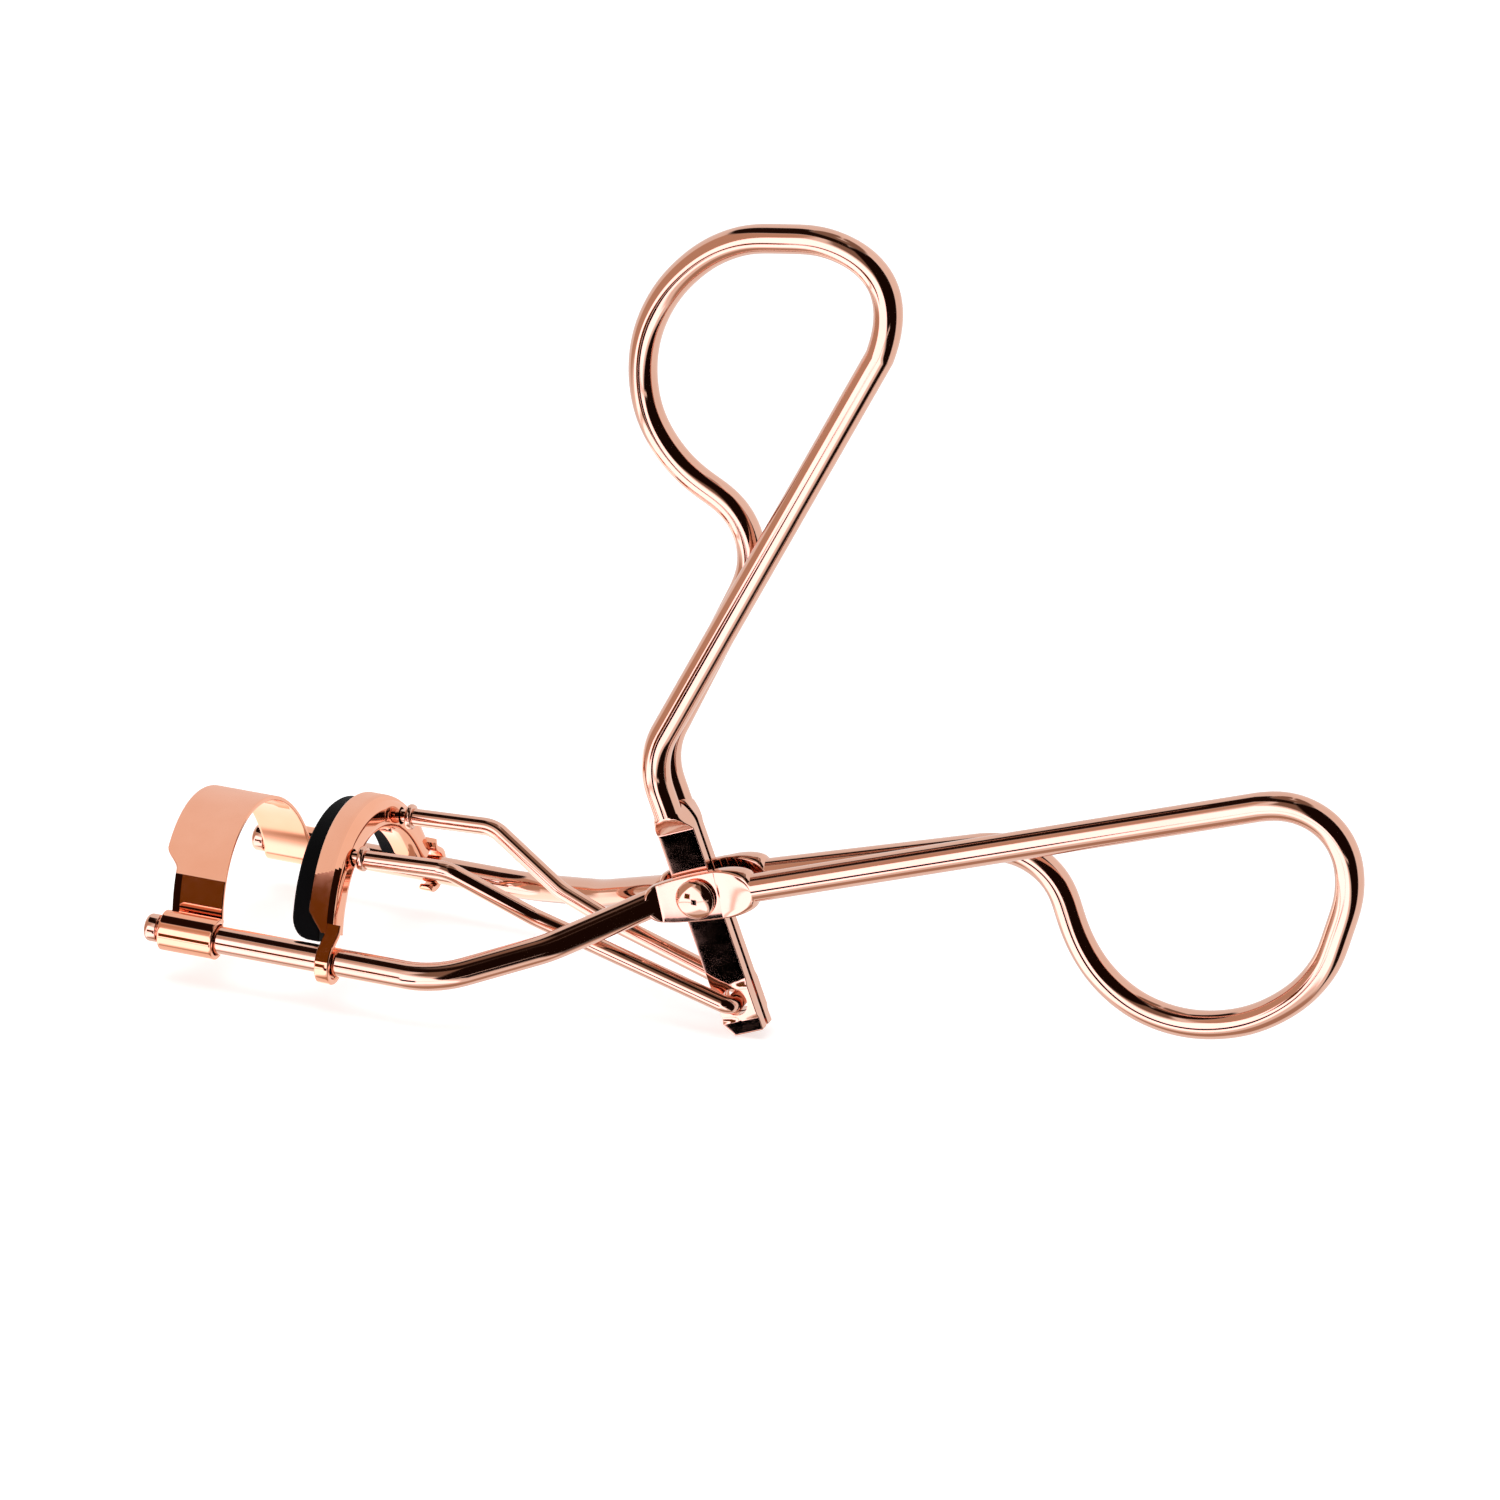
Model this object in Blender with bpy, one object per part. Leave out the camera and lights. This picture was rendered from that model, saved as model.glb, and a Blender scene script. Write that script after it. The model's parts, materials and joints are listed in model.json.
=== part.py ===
"""Eyelash curler: two bent wires on one rivet, a fixed arched jaw, a sliding padded jaw and a push link.

Sizes are in millimetres and are laid out from the rivet's axis: X runs along the guide rods towards the
finger loops, Y across the rods, Z up. An empty at the end stands the whole tool on the floor.
"""

import math

import bmesh
import bpy
import numpy as np
from mathutils import Vector

MM = 0.001

# Wire and fits
WIRE_D = 2.4
RUN_GAP = 0.25
SLIDE_GAP = 0.25
SEAT_GAP = 0.15
PIN_GAP = 0.15

# Guide rods of the frame wire
ROD_SPACING = 23.0
ROD_DROP = 7.65
ROD_TIP_X = -45.4
TIP_LENGTH = 1.15
TIP_ROUND = 0.45
GROOVE_DEPTH = 0.25
GROOVE_SLOPE = 0.1
GROOVE_WIDTH = 0.2

# Shanks that rise from the rods to the eyelets
ROD_BEND_X = -19.5
ROD_BEND_R = 9.0
SHANK_BOW_X = 0.6
SHANK_BOW_Z = -0.4
SHANK_BOW_R = 16.0
SHANK_START = 6.0
SHANK_END_R = 4.0

# Eyelets forged in the frame wire
EYELET_WIDTH = 4.1
EYELET_T = 1.0
EYELET_WIDEST = 2.7
EYELET_TO_LEG = 2.5
EYELET_TO_ROD = 7.1
EYELET_FOLD = 2.0
EYELET_FLAT_TO = -3.4

# Lever plates forged in the handle wire
PLATE_SPLIT = 0.35
PLATE_T = 1.0
PLATE_WIDTH = 3.4
PLATE_LEAN = 23.0
PLATE_ABOVE = 5.7
PLATE_BELOW = 12.7
PLATE_OFFSET = 0.4
PLATE_FACET = 1.8
PLATE_CHAMFER = 1.2
PLATE_CHAMFER_BY = 0.7
LINK_HOLE_R = 9.8
LINK_HOLE_D = 2.4
LINK_SEAT = 0.113

# Finger loops, the same on both wires
FRAME_LEG_ANGLE = 19.2
HANDLE_LEG_ANGLE = 65.0
HANDLE_LEG_OFFSET = 9.35
HANDLE_KINK_R = 6.5
LEG_SPLIT = 0.3
LEG_LENGTH = 49.3
LOOP_CORNER_R = 6.05
LOOP_R = 11.8
LOOP_SETBACK = 7.2
LOOP_DEPTH = 6.4
LOOP_RETURN_R = 6.1
LOOP_RETURN_IN = 0.55

# Rivet
RIVET_D = 1.8
RIVET_HEAD_D = 3.4
RIVET_HEAD_H = 0.85

# Fixed jaw, one bent sheet rolled round both rod tips
JAW_SHEET = 0.4
JAW_RISE = 7.9
JAW_REAR_X = -39.2
JAW_BAND = 5.75
JAW_LEG_BAND = 4.6
JAW_NOTCH_LOW = 4.1
JAW_NOTCH_HIGH = 5.4
JAW_ROLL_WRAP = 300.0
SLEEVE_FRONT_X = -43.85
SLEEVE_REAR_X = -38.9
CLAMP_LEAN = 8.5

# Sliding jaw, an arched channel with a hook round each rod
CHANNEL_DEPTH = 2.3
CHANNEL_REAR_X = -28.4
CHANNEL_INSET = 0.92
CHANNEL_WIDTH = 2.9
CHANNEL_WALL = 0.45
CHANNEL_WEB = 0.5
CHANNEL_EDGE_R = 0.9
CHANNEL_END_RISE = 1.74
CHANNEL_CUT_RISE = 3.0
CHANNEL_CUT_BY = 1.3
HOOK_T = 0.55
HOOK_WIDTH = 1.3
HOOK_REAR_X = -28.2
HOOK_ROOT = 4.0
HOOK_ROOT_R = 0.9
HOOK_WRAP = 200.0

# Lash pad
PAD_PROUD = 1.8
PAD_BACK_ROOM = 1.0
PAD_END_RISE = 1.03
PAD_EDGE_R = 0.2
PAD_END_SPAN = 9.0
PAD_END_CUT = 1.3

# Push link
LINK_D = 1.5
LINK_SPREAD = 10.8
LINK_SPIGOT_D = 1.1
LINK_HEAD_D = 1.6
LINK_HEAD_T = 0.4
LINK_HEAD_CHAMFER = 0.1
LINK_HEAD_GAP = 0.25
LINK_WEB_GAP = 0.2
LINK_COLLAR_D = 2.2
LINK_COLLAR_T = 0.55
LINK_COLLAR_STANDOFF = 0.6
LINK_KNEE_X = -21.0
LINK_KNEE_RISE = 0.45
LINK_KNEE_R = 3.0
LINK_WAIST_X = -16.8
LINK_WAIST_Y = 3.1
LINK_WAIST_Z = -2.8
LINK_WAIST_R = 5.0
LINK_SHIN_X = -9.0
LINK_SHIN_Y = 2.6
LINK_SHIN_Z = -5.6
LINK_SHIN_R = 20.0
LINK_ELBOW_R = 0.9

# Facets
ARC_STEP = 8.0
FINE_STEP = 20.0
SECTION_HALF = 9
LINK_SIDES = 14
PIN_SIDES = 24
EDGE_STEPS = 3
EYELET_STEPS = 12
DOME_FROM = 85.0
SHARP_ANGLE = 35.0
CUT_OVERRUN = 1.0

# Finishes: colour, roughness, metallic
ROSE_GOLD = (0.82, 0.47, 0.36)
DEEP_ROSE = (0.78, 0.43, 0.32)
SILICONE = (0.012, 0.012, 0.013)
POLISHED = 0.12
SOFT_RUBBER = 0.55

WIRE_R = WIRE_D / 2
ROD_Y = ROD_SPACING / 2
PLATE_Y = (PLATE_SPLIT + PLATE_T) / 2
PLATE_OUTER_Y = PLATE_SPLIT / 2 + PLATE_T
EYELET_Y = PLATE_OUTER_Y + RUN_GAP + EYELET_T / 2
LOOP_Y = WIRE_R + LEG_SPLIT / 2
PIVOT_HOLE_R = RIVET_D / 2 + PIN_GAP
ROLL_R = WIRE_R + SEAT_GAP + JAW_SHEET / 2
ARCH_R = (ROD_Y ** 2 + JAW_RISE ** 2 - ROLL_R ** 2) / (2 * (ROLL_R + JAW_RISE))
ARCH_DROP = ARCH_R - JAW_RISE
CHANNEL_IN_R = ARCH_R - CHANNEL_INSET
CHANNEL_OUT_R = CHANNEL_IN_R + CHANNEL_WIDTH
CHANNEL_MID_R = CHANNEL_IN_R + CHANNEL_WIDTH / 2
CHANNEL_FRONT_X = CHANNEL_REAR_X - CHANNEL_DEPTH
CHANNEL_SPAN = math.degrees(math.acos((CHANNEL_END_RISE + ARCH_DROP) / CHANNEL_MID_R))
CHANNEL_CUT_FROM = math.degrees(math.acos((CHANNEL_CUT_RISE + ARCH_DROP) / CHANNEL_MID_R))
PAD_SPAN = math.degrees(math.acos((PAD_END_RISE + ARCH_DROP) / CHANNEL_MID_R))
LEAN = math.tan(math.radians(CLAMP_LEAN))
LINK_Y = LINK_SPREAD / 2


def unit(vector):
    return vector / np.linalg.norm(vector)


def turned(angle_deg):
    """The cosine and sine of an angle in degrees."""
    return math.cos(math.radians(angle_deg)), math.sin(math.radians(angle_deg))


def steps_for(angle_deg, step_deg=ARC_STEP):
    return max(2, math.ceil(abs(angle_deg) / step_deg))


def rounded_path(corners, radii):
    """A polyline in space whose inner corners are rounded to the given radii."""
    corners = [np.array(corner, float) for corner in corners]
    points = [corners[0]]
    for before, corner, after, radius in zip(corners, corners[1:], corners[2:], radii):
        back = unit(before - corner)
        ahead = unit(after - corner)
        opening = math.acos(float(np.clip(back @ ahead, -1, 1)))
        centre = corner + unit(back + ahead) * radius / math.sin(opening / 2)
        reach = radius / math.tan(opening / 2)
        first = corner + back * reach - centre
        last = corner + ahead * reach - centre
        turn = math.pi - opening
        for part in np.linspace(0, 1, steps_for(math.degrees(turn)) + 1):
            mixed = math.sin((1 - part) * turn) * first + math.sin(part * turn) * last
            points.append(centre + mixed / math.sin(turn))
    points.append(corners[-1])
    return np.array(points)


def tangents_of(points):
    """Directions along a path. A step in radius at one place takes the direction before it."""
    steps = np.diff(points, axis=0)
    lengths = np.linalg.norm(steps, axis=1)
    for index in np.flatnonzero(lengths == 0):
        steps[index] = steps[index - 1]
    steps /= np.linalg.norm(steps, axis=1, keepdims=True)
    sums = np.vstack([steps[:1], steps[:-1] + steps[1:], steps[-1:]])
    return sums / np.linalg.norm(sums, axis=1, keepdims=True)


def ring_solid(rings):
    """Vertices and faces of a closed body lofted through rings of equal count."""
    rings = np.asarray(rings, float)
    count, sides = rings.shape[:2]
    faces = []
    for ring in range(count - 1):
        for side in range(sides):
            after = (side + 1) % sides
            low = ring * sides
            high = low + sides
            faces.append((low + side, low + after, high + after, high + side))
    faces.append(tuple(range(sides)))
    faces.append(tuple(range((count - 1) * sides, count * sides)))
    return rings.reshape(-1, 3), faces


def forged_sweep(rows):
    """Sweeps a wire whose section goes from round to flat. A row is x, y, z, left, right, half thickness."""
    points = rows[:, :3]
    tangents = tangents_of(points)
    across = np.cross((0, 1, 0), tangents)
    across /= np.linalg.norm(across, axis=1, keepdims=True)
    normal = np.cross(tangents, across)
    fullest = math.pi / 2 * (1 - 1 / SECTION_HALF)
    rings = []
    for point, side, up, (left, right, half) in zip(points, across, normal, rows[:, 3:]):
        is_round = max(left, right) <= half
        reach = half if is_round else WIRE_R
        spread = fullest if is_round else min(fullest, math.asin(half / WIRE_R))
        angles = np.linspace(-spread, spread, SECTION_HALF)
        ring = [point + side * right * math.cos(a) + up * reach * math.sin(a) for a in angles]
        ring += [point - side * left * math.cos(a) + up * reach * math.sin(a) for a in angles[::-1]]
        rings.append(ring)
    return ring_solid(rings)


def round_sweep(points, radii, sides):
    """Sweeps a circle of changing radius along a path, with no twist."""
    points = np.asarray(points, float)
    tangents = tangents_of(points)
    turn = np.linspace(0, 2 * math.pi, sides, endpoint=False)
    side = np.cross(tangents[0], (0, 0, 1))
    rings = []
    for point, tangent, radius in zip(points, tangents, radii):
        side = unit(side - tangent * (side @ tangent))
        other = np.cross(tangent, side)
        rings.append(point + radius * (np.outer(np.cos(turn), side) + np.outer(np.sin(turn), other)))
    return ring_solid(rings)


def round_rows(points, radius=WIRE_R):
    sizes = np.full((len(points), 3), radius)
    return np.hstack([points, sizes])


def mirrored(rows):
    """The same wire on the far side, run backwards."""
    far = rows[::-1].copy()
    far[:, 1] *= -1
    far[:, [3, 4]] = far[:, [4, 3]]
    return far


def material(name, colour, roughness, metallic):
    made = bpy.data.materials.new(name)
    made.use_nodes = True
    shader = made.node_tree.nodes["Principled BSDF"]
    shader.inputs["Base Color"].default_value = (*colour, 1)
    shader.inputs["Roughness"].default_value = roughness
    shader.inputs["Metallic"].default_value = metallic
    made.diffuse_color = (*colour, 1)
    return made


def add_object(name, solid, origin=(0, 0, 0)):
    """A mesh object with outward faces, its origin at a point of the layout."""
    vertices, faces = solid
    origin = np.array(origin, float)
    mesh = bpy.data.meshes.new(name)
    mesh.from_pydata(((vertices - origin) * MM).tolist(), [], faces)
    shaped = bmesh.new()
    shaped.from_mesh(mesh)
    bmesh.ops.recalc_face_normals(shaped, faces=shaped.faces)
    shaped.to_mesh(mesh)
    shaped.free()
    mesh.shade_smooth()
    mesh.set_sharp_from_angle(angle=math.radians(SHARP_ANGLE))
    made = bpy.data.objects.new(name, mesh)
    made.location = origin * MM
    made.parent = base
    bpy.context.scene.collection.objects.link(made)
    return made


def helper(name, solid):
    made = add_object(name, solid)
    made.hide_render = True
    made.display_type = "WIRE"
    return made


def combine(target, other, operation):
    modifier = target.modifiers.new(other.name, "BOOLEAN")
    modifier.operation = operation
    modifier.solver = "EXACT"
    modifier.object = other


def bar(start, end, radius, sides=PIN_SIDES):
    return round_sweep([start, end], [radius, radius], sides)


def arc_points(centre, radius, first, last):
    angles = np.linspace(first, last, steps_for(last - first) + 1)
    return np.array([centre + radius * np.array(turned(angle)) for angle in angles])


def finger_loop():
    """Rows u, w, y of the loop: out of the near leg, round the fingers and back into the far leg."""
    corner = np.array([LEG_LENGTH, LOOP_CORNER_R])
    centre = np.array([LEG_LENGTH - LOOP_SETBACK, LOOP_DEPTH])
    between = centre - corner
    lean = math.acos((LOOP_CORNER_R - LOOP_R) / np.linalg.norm(between))
    leave = math.degrees(math.atan2(between[1], between[0]) - lean)
    reach = LOOP_R + LOOP_RETURN_R
    back_w = LOOP_RETURN_R + LOOP_RETURN_IN
    back = np.array([centre[0] - math.sqrt(reach ** 2 - (LOOP_DEPTH - back_w) ** 2), back_w])
    meet = math.degrees(math.atan2(back[1] - centre[1], back[0] - centre[0])) % 360
    round_corner = arc_points(corner, LOOP_CORNER_R, -90, leave)
    round_fingers = arc_points(centre, LOOP_R, leave, meet)
    round_back = arc_points(back, LOOP_RETURN_R, meet - 180, -90)[1:]
    points = np.vstack([round_corner, round_fingers, round_back])
    travelled = np.cumsum(np.linalg.norm(np.diff(points, axis=0, prepend=points[:1]), axis=1))
    part = np.clip(travelled / travelled[-1 - len(round_back)], 0, 1)
    eased = part * part * (3 - 2 * part)
    return np.column_stack([points, LOOP_Y * (2 * eased - 1)])


def placed_loop(foot, along, towards):
    loop = finger_loop()
    spots = np.outer(loop[:, 0], along) + np.outer(loop[:, 1], towards) + foot
    spots[:, 1] = loop[:, 2]
    return round_rows(spots)


def rod_tip_rows():
    """The button at a rod's tip and the groove behind it."""
    stations = []
    for angle in np.linspace(0, math.pi / 2, EDGE_STEPS + 1):
        stations.append((TIP_ROUND * (1 - math.cos(angle)), WIRE_R - TIP_ROUND * (1 - math.sin(angle))))
    stations.append((TIP_LENGTH, WIRE_R))
    stations.append((TIP_LENGTH + GROOVE_SLOPE, WIRE_R - GROOVE_DEPTH))
    stations.append((TIP_LENGTH + GROOVE_SLOPE + GROOVE_WIDTH, WIRE_R - GROOVE_DEPTH))
    stations.append((TIP_LENGTH + 2 * GROOVE_SLOPE + GROOVE_WIDTH, WIRE_R))
    rows = [(ROD_TIP_X + x, -ROD_Y, -ROD_DROP, r, r, r) for x, r in stations]
    return np.array(rows)


def eyelet_rows(along):
    """Where the round wire is forged to a flat eye and back, along the fixed leg."""
    first = EYELET_WIDEST - EYELET_TO_ROD
    last = EYELET_WIDEST + EYELET_TO_LEG
    flat = EYELET_T / 2
    stops = np.array([EYELET_FLAT_TO, 0.0, EYELET_FOLD, EYELET_WIDEST])
    curve = EYELET_WIDEST + EYELET_TO_LEG * np.sin(np.linspace(0, math.pi / 2, EYELET_STEPS // 2))
    taper = np.linspace(first, EYELET_FOLD, EYELET_STEPS // 2)
    rows = []
    for u in np.unique(np.round(np.concatenate([stops, curve, taper]), 3)):
        reach = EYELET_TO_LEG if u > EYELET_WIDEST else EYELET_TO_ROD
        bulge = math.sqrt(max(0, 1 - ((u - EYELET_WIDEST) / reach) ** 2))
        half_width = WIRE_R + (EYELET_WIDTH / 2 - WIRE_R) * bulge
        half = np.interp(u, [first, EYELET_FLAT_TO, EYELET_FOLD, last], [WIRE_R, flat, flat, WIRE_R])
        x, _, z = along * u
        rows.append((x, -EYELET_Y, z, half_width, half_width, half))
    return np.array(rows)


def frame_wire():
    cos_leg, sin_leg = turned(FRAME_LEG_ANGLE)
    along = np.array([cos_leg, 0, sin_leg])
    towards = np.array([sin_leg, 0, -cos_leg])
    tip = rod_tip_rows()
    bend = np.array([ROD_BEND_X, -ROD_Y, -ROD_DROP])
    top = -SHANK_START * along
    top[1] = -EYELET_Y
    bow = (bend + top) / 2 + (SHANK_BOW_X, 0, SHANK_BOW_Z)
    eye = eyelet_rows(along)
    corners = [tip[-1, :3], bend, bow, top, eye[0, :3]]
    shank = rounded_path(corners, [ROD_BEND_R, SHANK_BOW_R, SHANK_END_R])[1:-1]
    near = np.vstack([tip, round_rows(shank), eye])
    loop = placed_loop(np.zeros(3), along, towards)
    return forged_sweep(np.vstack([near, loop, mirrored(near)]))


def plate_axis_point(below):
    """A point of the lever plates' centre line, which passes the rivet a little to the jaws' side."""
    cos_lean, sin_lean = turned(PLATE_LEAN)
    aside = -PLATE_OFFSET * np.array([cos_lean, 0, sin_lean])
    return aside + np.array([sin_lean, 0, -cos_lean]) * below


def handle_wire():
    cos_leg, sin_leg = turned(HANDLE_LEG_ANGLE)
    along = np.array([cos_leg, 0, sin_leg])
    towards = np.array([-sin_leg, 0, cos_leg])
    foot = HANDLE_LEG_OFFSET * towards
    half_width = PLATE_WIDTH / 2
    half = PLATE_T / 2
    rows = []
    for below, cut in ((PLATE_BELOW, PLATE_CHAMFER_BY), (PLATE_BELOW - PLATE_CHAMFER, 0), (-PLATE_ABOVE, 0)):
        spot = plate_axis_point(below) + (0, -PLATE_Y, 0)
        rows.append((*spot, half_width - cut, half_width, half))
    neck = plate_axis_point(-PLATE_ABOVE - PLATE_FACET) + (0, -LOOP_Y, 0)
    start = plate_axis_point(0)
    rise = plate_axis_point(-1) - start
    climb = (HANDLE_LEG_OFFSET - start @ towards) / (rise @ towards)
    kink = start + rise * climb + (0, -LOOP_Y, 0)
    loop = placed_loop(foot, along, towards)
    arm = rounded_path([neck, kink, loop[0, :3]], [HANDLE_KINK_R])[:-1]
    near = np.vstack([rows, round_rows(arm)])
    return forged_sweep(np.vstack([near, loop, mirrored(near)]))


def pivot_rivet():
    """A headed pin through both eyelets, turned from one profile."""
    face = EYELET_Y + EYELET_T / 2 + SEAT_GAP
    dome = np.linspace(DOME_FROM, 0, 2 * EDGE_STEPS)
    profile = [(face + RIVET_HEAD_H * turned(a)[1], RIVET_HEAD_D / 2 * turned(a)[0]) for a in dome]
    profile.append((face, RIVET_D / 2))
    profile += [(-y, r) for y, r in profile[::-1]]
    return round_sweep([(0, -y, 0) for y, _ in profile], [r for _, r in profile], PIN_SIDES)


def jaw_edges(zeta):
    """The front and rear edges of the fixed jaw's band at a height over the rods."""
    rear = JAW_REAR_X - LEAN * zeta
    band = np.interp(zeta, [JAW_NOTCH_LOW, JAW_NOTCH_HIGH], [JAW_LEG_BAND, JAW_BAND])
    return rear - band, rear


def upper_jaw():
    """One sheet: rolled round a rod, up into the arch, and rolled round the other rod."""
    meet = -math.degrees(math.atan2(ARCH_DROP, ROD_Y))
    roll = []
    for angle in np.linspace(meet - JAW_ROLL_WRAP, meet, steps_for(JAW_ROLL_WRAP, FINE_STEP) + 1):
        cos_roll, sin_roll = turned(angle)
        spot = (-ROD_Y + ROLL_R * cos_roll, ROLL_R * sin_roll)
        roll.append((*spot, -cos_roll, -sin_roll, SLEEVE_FRONT_X, SLEEVE_REAR_X))
    notch = [math.degrees(math.asin((z + ARCH_DROP) / ARCH_R)) for z in (JAW_NOTCH_LOW, JAW_NOTCH_HIGH)]
    quarter = np.linspace(-meet, 90, steps_for(90 + meet, ARC_STEP / 2) + 1)[1:]
    quarter = np.unique(np.round(np.concatenate([quarter, notch]), 3))
    arch = []
    for angle in np.concatenate([180 - quarter, quarter[:-1][::-1]]):
        cos_arch, sin_arch = turned(angle)
        zeta = ARCH_R * sin_arch - ARCH_DROP
        arch.append((ARCH_R * cos_arch, zeta, cos_arch, sin_arch, *jaw_edges(zeta)))
    roll = np.array(roll)
    far = roll[::-1] * (-1, 1, -1, 1, 1, 1)
    half = JAW_SHEET / 2
    rings = []
    for y, zeta, out_y, out_z, front, rear in np.vstack([roll, arch, far]):
        over = (y + out_y * half, zeta + out_z * half - ROD_DROP)
        under = (y - out_y * half, zeta - out_z * half - ROD_DROP)
        rings.append([(front, *over), (rear, *over), (rear, *under), (front, *under)])
    return ring_solid(rings)


def leaned(x, radius, angle_deg):
    """A point of the sliding jaw: x at rod height, leaned forward with height, on an arc of the arch."""
    cos_arc, sin_arc = turned(angle_deg)
    zeta = radius * cos_arc - ARCH_DROP
    return x - LEAN * zeta, radius * sin_arc, zeta - ROD_DROP


def swept_arch(span, section, extra=()):
    """Sweeps a section, given as points radius, x for each angle, over the arch from end to end."""
    angles = np.linspace(-span, span, 2 * steps_for(span, ARC_STEP / 2) + 1)
    angles = np.unique(np.round(np.concatenate([angles, extra]), 3))
    return ring_solid([[leaned(x, r, angle) for r, x in section(abs(angle))] for angle in angles])


def channel_section(angle_deg):
    cut = np.interp(angle_deg, [CHANNEL_CUT_FROM, CHANNEL_SPAN], [0, CHANNEL_CUT_BY])
    front = CHANNEL_FRONT_X + cut
    floor = CHANNEL_REAR_X - CHANNEL_WEB
    round_off = [turned(a) for a in np.linspace(0, 90, EDGE_STEPS + 1)]
    edge_x = CHANNEL_REAR_X - CHANNEL_EDGE_R
    inner = [(CHANNEL_IN_R + CHANNEL_EDGE_R * (1 - c), edge_x + CHANNEL_EDGE_R * s) for c, s in round_off]
    outer = [(CHANNEL_OUT_R - CHANNEL_EDGE_R * (1 - c), edge_x + CHANNEL_EDGE_R * s) for c, s in round_off]
    low = CHANNEL_IN_R + CHANNEL_WALL
    high = CHANNEL_OUT_R - CHANNEL_WALL
    mouth = [(high, front), (high, floor), (low, floor), (low, front)]
    return [(CHANNEL_IN_R, front), *inner, *outer[::-1], (CHANNEL_OUT_R, front), *mouth]


def hook_strip(side):
    """A strip from the channel's outer wall, over a rod and round underneath it."""
    wall_r = CHANNEL_OUT_R - CHANNEL_WALL / 2
    hook_r = WIRE_R + SLIDE_GAP + HOOK_T / 2
    rod = np.array([-ROD_Y, 0.0])
    root, leave = [
        np.array([-wall_r * turned(a)[1], wall_r * turned(a)[0] - ARCH_DROP])
        for a in (CHANNEL_SPAN - HOOK_ROOT, CHANNEL_SPAN)
    ]
    away = leave - rod
    first = math.degrees(math.atan2(away[1], away[0]) + math.acos(hook_r / np.linalg.norm(away)))
    wrap = np.linspace(first, first + HOOK_WRAP, steps_for(HOOK_WRAP, FINE_STEP) + 1)
    around = [rod + hook_r * np.array(turned(a)) for a in wrap]
    start = rounded_path([(0, *root), (0, *leave), (0, *around[0])], [HOOK_ROOT_R])
    path = np.vstack([start, np.column_stack([np.zeros(len(around) - 1), around[1:]])])
    normal = np.cross(tangents_of(path), (1, 0, 0)) * HOOK_T / 2
    rings = []
    for spot, out in zip(path, normal):
        ring = [spot + out, spot + out, spot - out, spot - out]
        edges = (HOOK_REAR_X - HOOK_WIDTH, HOOK_REAR_X, HOOK_REAR_X, HOOK_REAR_X - HOOK_WIDTH)
        rings.append([(x, side * y, z - ROD_DROP) for x, (_, y, z) in zip(edges, ring)])
    return ring_solid(rings)


def pad_section(angle_deg):
    past = max(0, angle_deg - PAD_SPAN + PAD_END_SPAN) / PAD_END_SPAN
    front = CHANNEL_FRONT_X - PAD_PROUD + PAD_END_CUT * (1 - math.sqrt(max(0, 1 - past ** 2)))
    back = CHANNEL_REAR_X - CHANNEL_WEB - PAD_BACK_ROOM
    low = CHANNEL_IN_R + CHANNEL_WALL + SEAT_GAP
    high = CHANNEL_OUT_R - CHANNEL_WALL - SEAT_GAP
    corner = [turned(a) for a in np.linspace(0, 90, EDGE_STEPS)]
    lower = [(low + PAD_EDGE_R * (1 - c), front + PAD_EDGE_R * (1 - s)) for c, s in corner]
    upper = [(high - PAD_EDGE_R * (1 - c), front + PAD_EDGE_R * (1 - s)) for c, s in corner]
    return [(low, back), *lower, *upper[::-1], (high, back)]


def link_seat():
    """The point on the link's hinge axis, in the middle of the channel's web at one of its holes."""
    angle = math.degrees(math.asin(-LINK_Y / CHANNEL_MID_R))
    return np.array(leaned(CHANNEL_REAR_X - CHANNEL_WEB / 2, CHANNEL_MID_R, angle))


def push_link():
    """The U of thin wire from the channel's web to the lever plates."""
    seat = link_seat()
    knee = np.array([LINK_KNEE_X, -LINK_Y, seat[2] + LINK_KNEE_RISE])
    aim = unit(knee - seat)
    head_back = -CHANNEL_WEB / 2 - LINK_HEAD_GAP
    collar_front = CHANNEL_WEB / 2 + LINK_COLLAR_STANDOFF
    collar_back = collar_front + LINK_COLLAR_T
    spigot = LINK_SPIGOT_D / 2
    stations = [
        (head_back - LINK_HEAD_T, LINK_HEAD_D / 2 - LINK_HEAD_CHAMFER),
        (head_back - LINK_HEAD_T + LINK_HEAD_CHAMFER, LINK_HEAD_D / 2),
        (head_back, LINK_HEAD_D / 2),
        (head_back, spigot),
        (collar_front, spigot),
        (collar_front, LINK_COLLAR_D / 2),
        (collar_back, LINK_COLLAR_D / 2),
        (collar_back, LINK_D / 2),
    ]
    ends = [(seat + aim * place, r) for place, r in stations]
    bar_at = plate_axis_point(LINK_HOLE_R) - (0, 0, LINK_SEAT)
    elbow = bar_at - (0, PLATE_OUTER_Y + LINK_ELBOW_R, 0)
    waist = (LINK_WAIST_X, -LINK_WAIST_Y, LINK_WAIST_Z)
    shin = (LINK_SHIN_X, -LINK_SHIN_Y, LINK_SHIN_Z)
    corners = [ends[-1][0], knee, waist, shin, elbow, bar_at]
    near = rounded_path(corners, [LINK_KNEE_R, LINK_WAIST_R, LINK_SHIN_R, LINK_ELBOW_R])[1:-1]
    points = np.vstack([[point for point, _ in ends], near])
    radii = [r for _, r in ends] + [LINK_D / 2] * len(near)
    far = points[::-1] * (1, -1, 1)
    return round_sweep(np.vstack([points, far]), radii + radii[::-1], LINK_SIDES)


for old in list(bpy.data.objects):
    bpy.data.objects.remove(old)

base = bpy.data.objects.new("curler_base", None)
bpy.context.scene.collection.objects.link(base)

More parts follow.
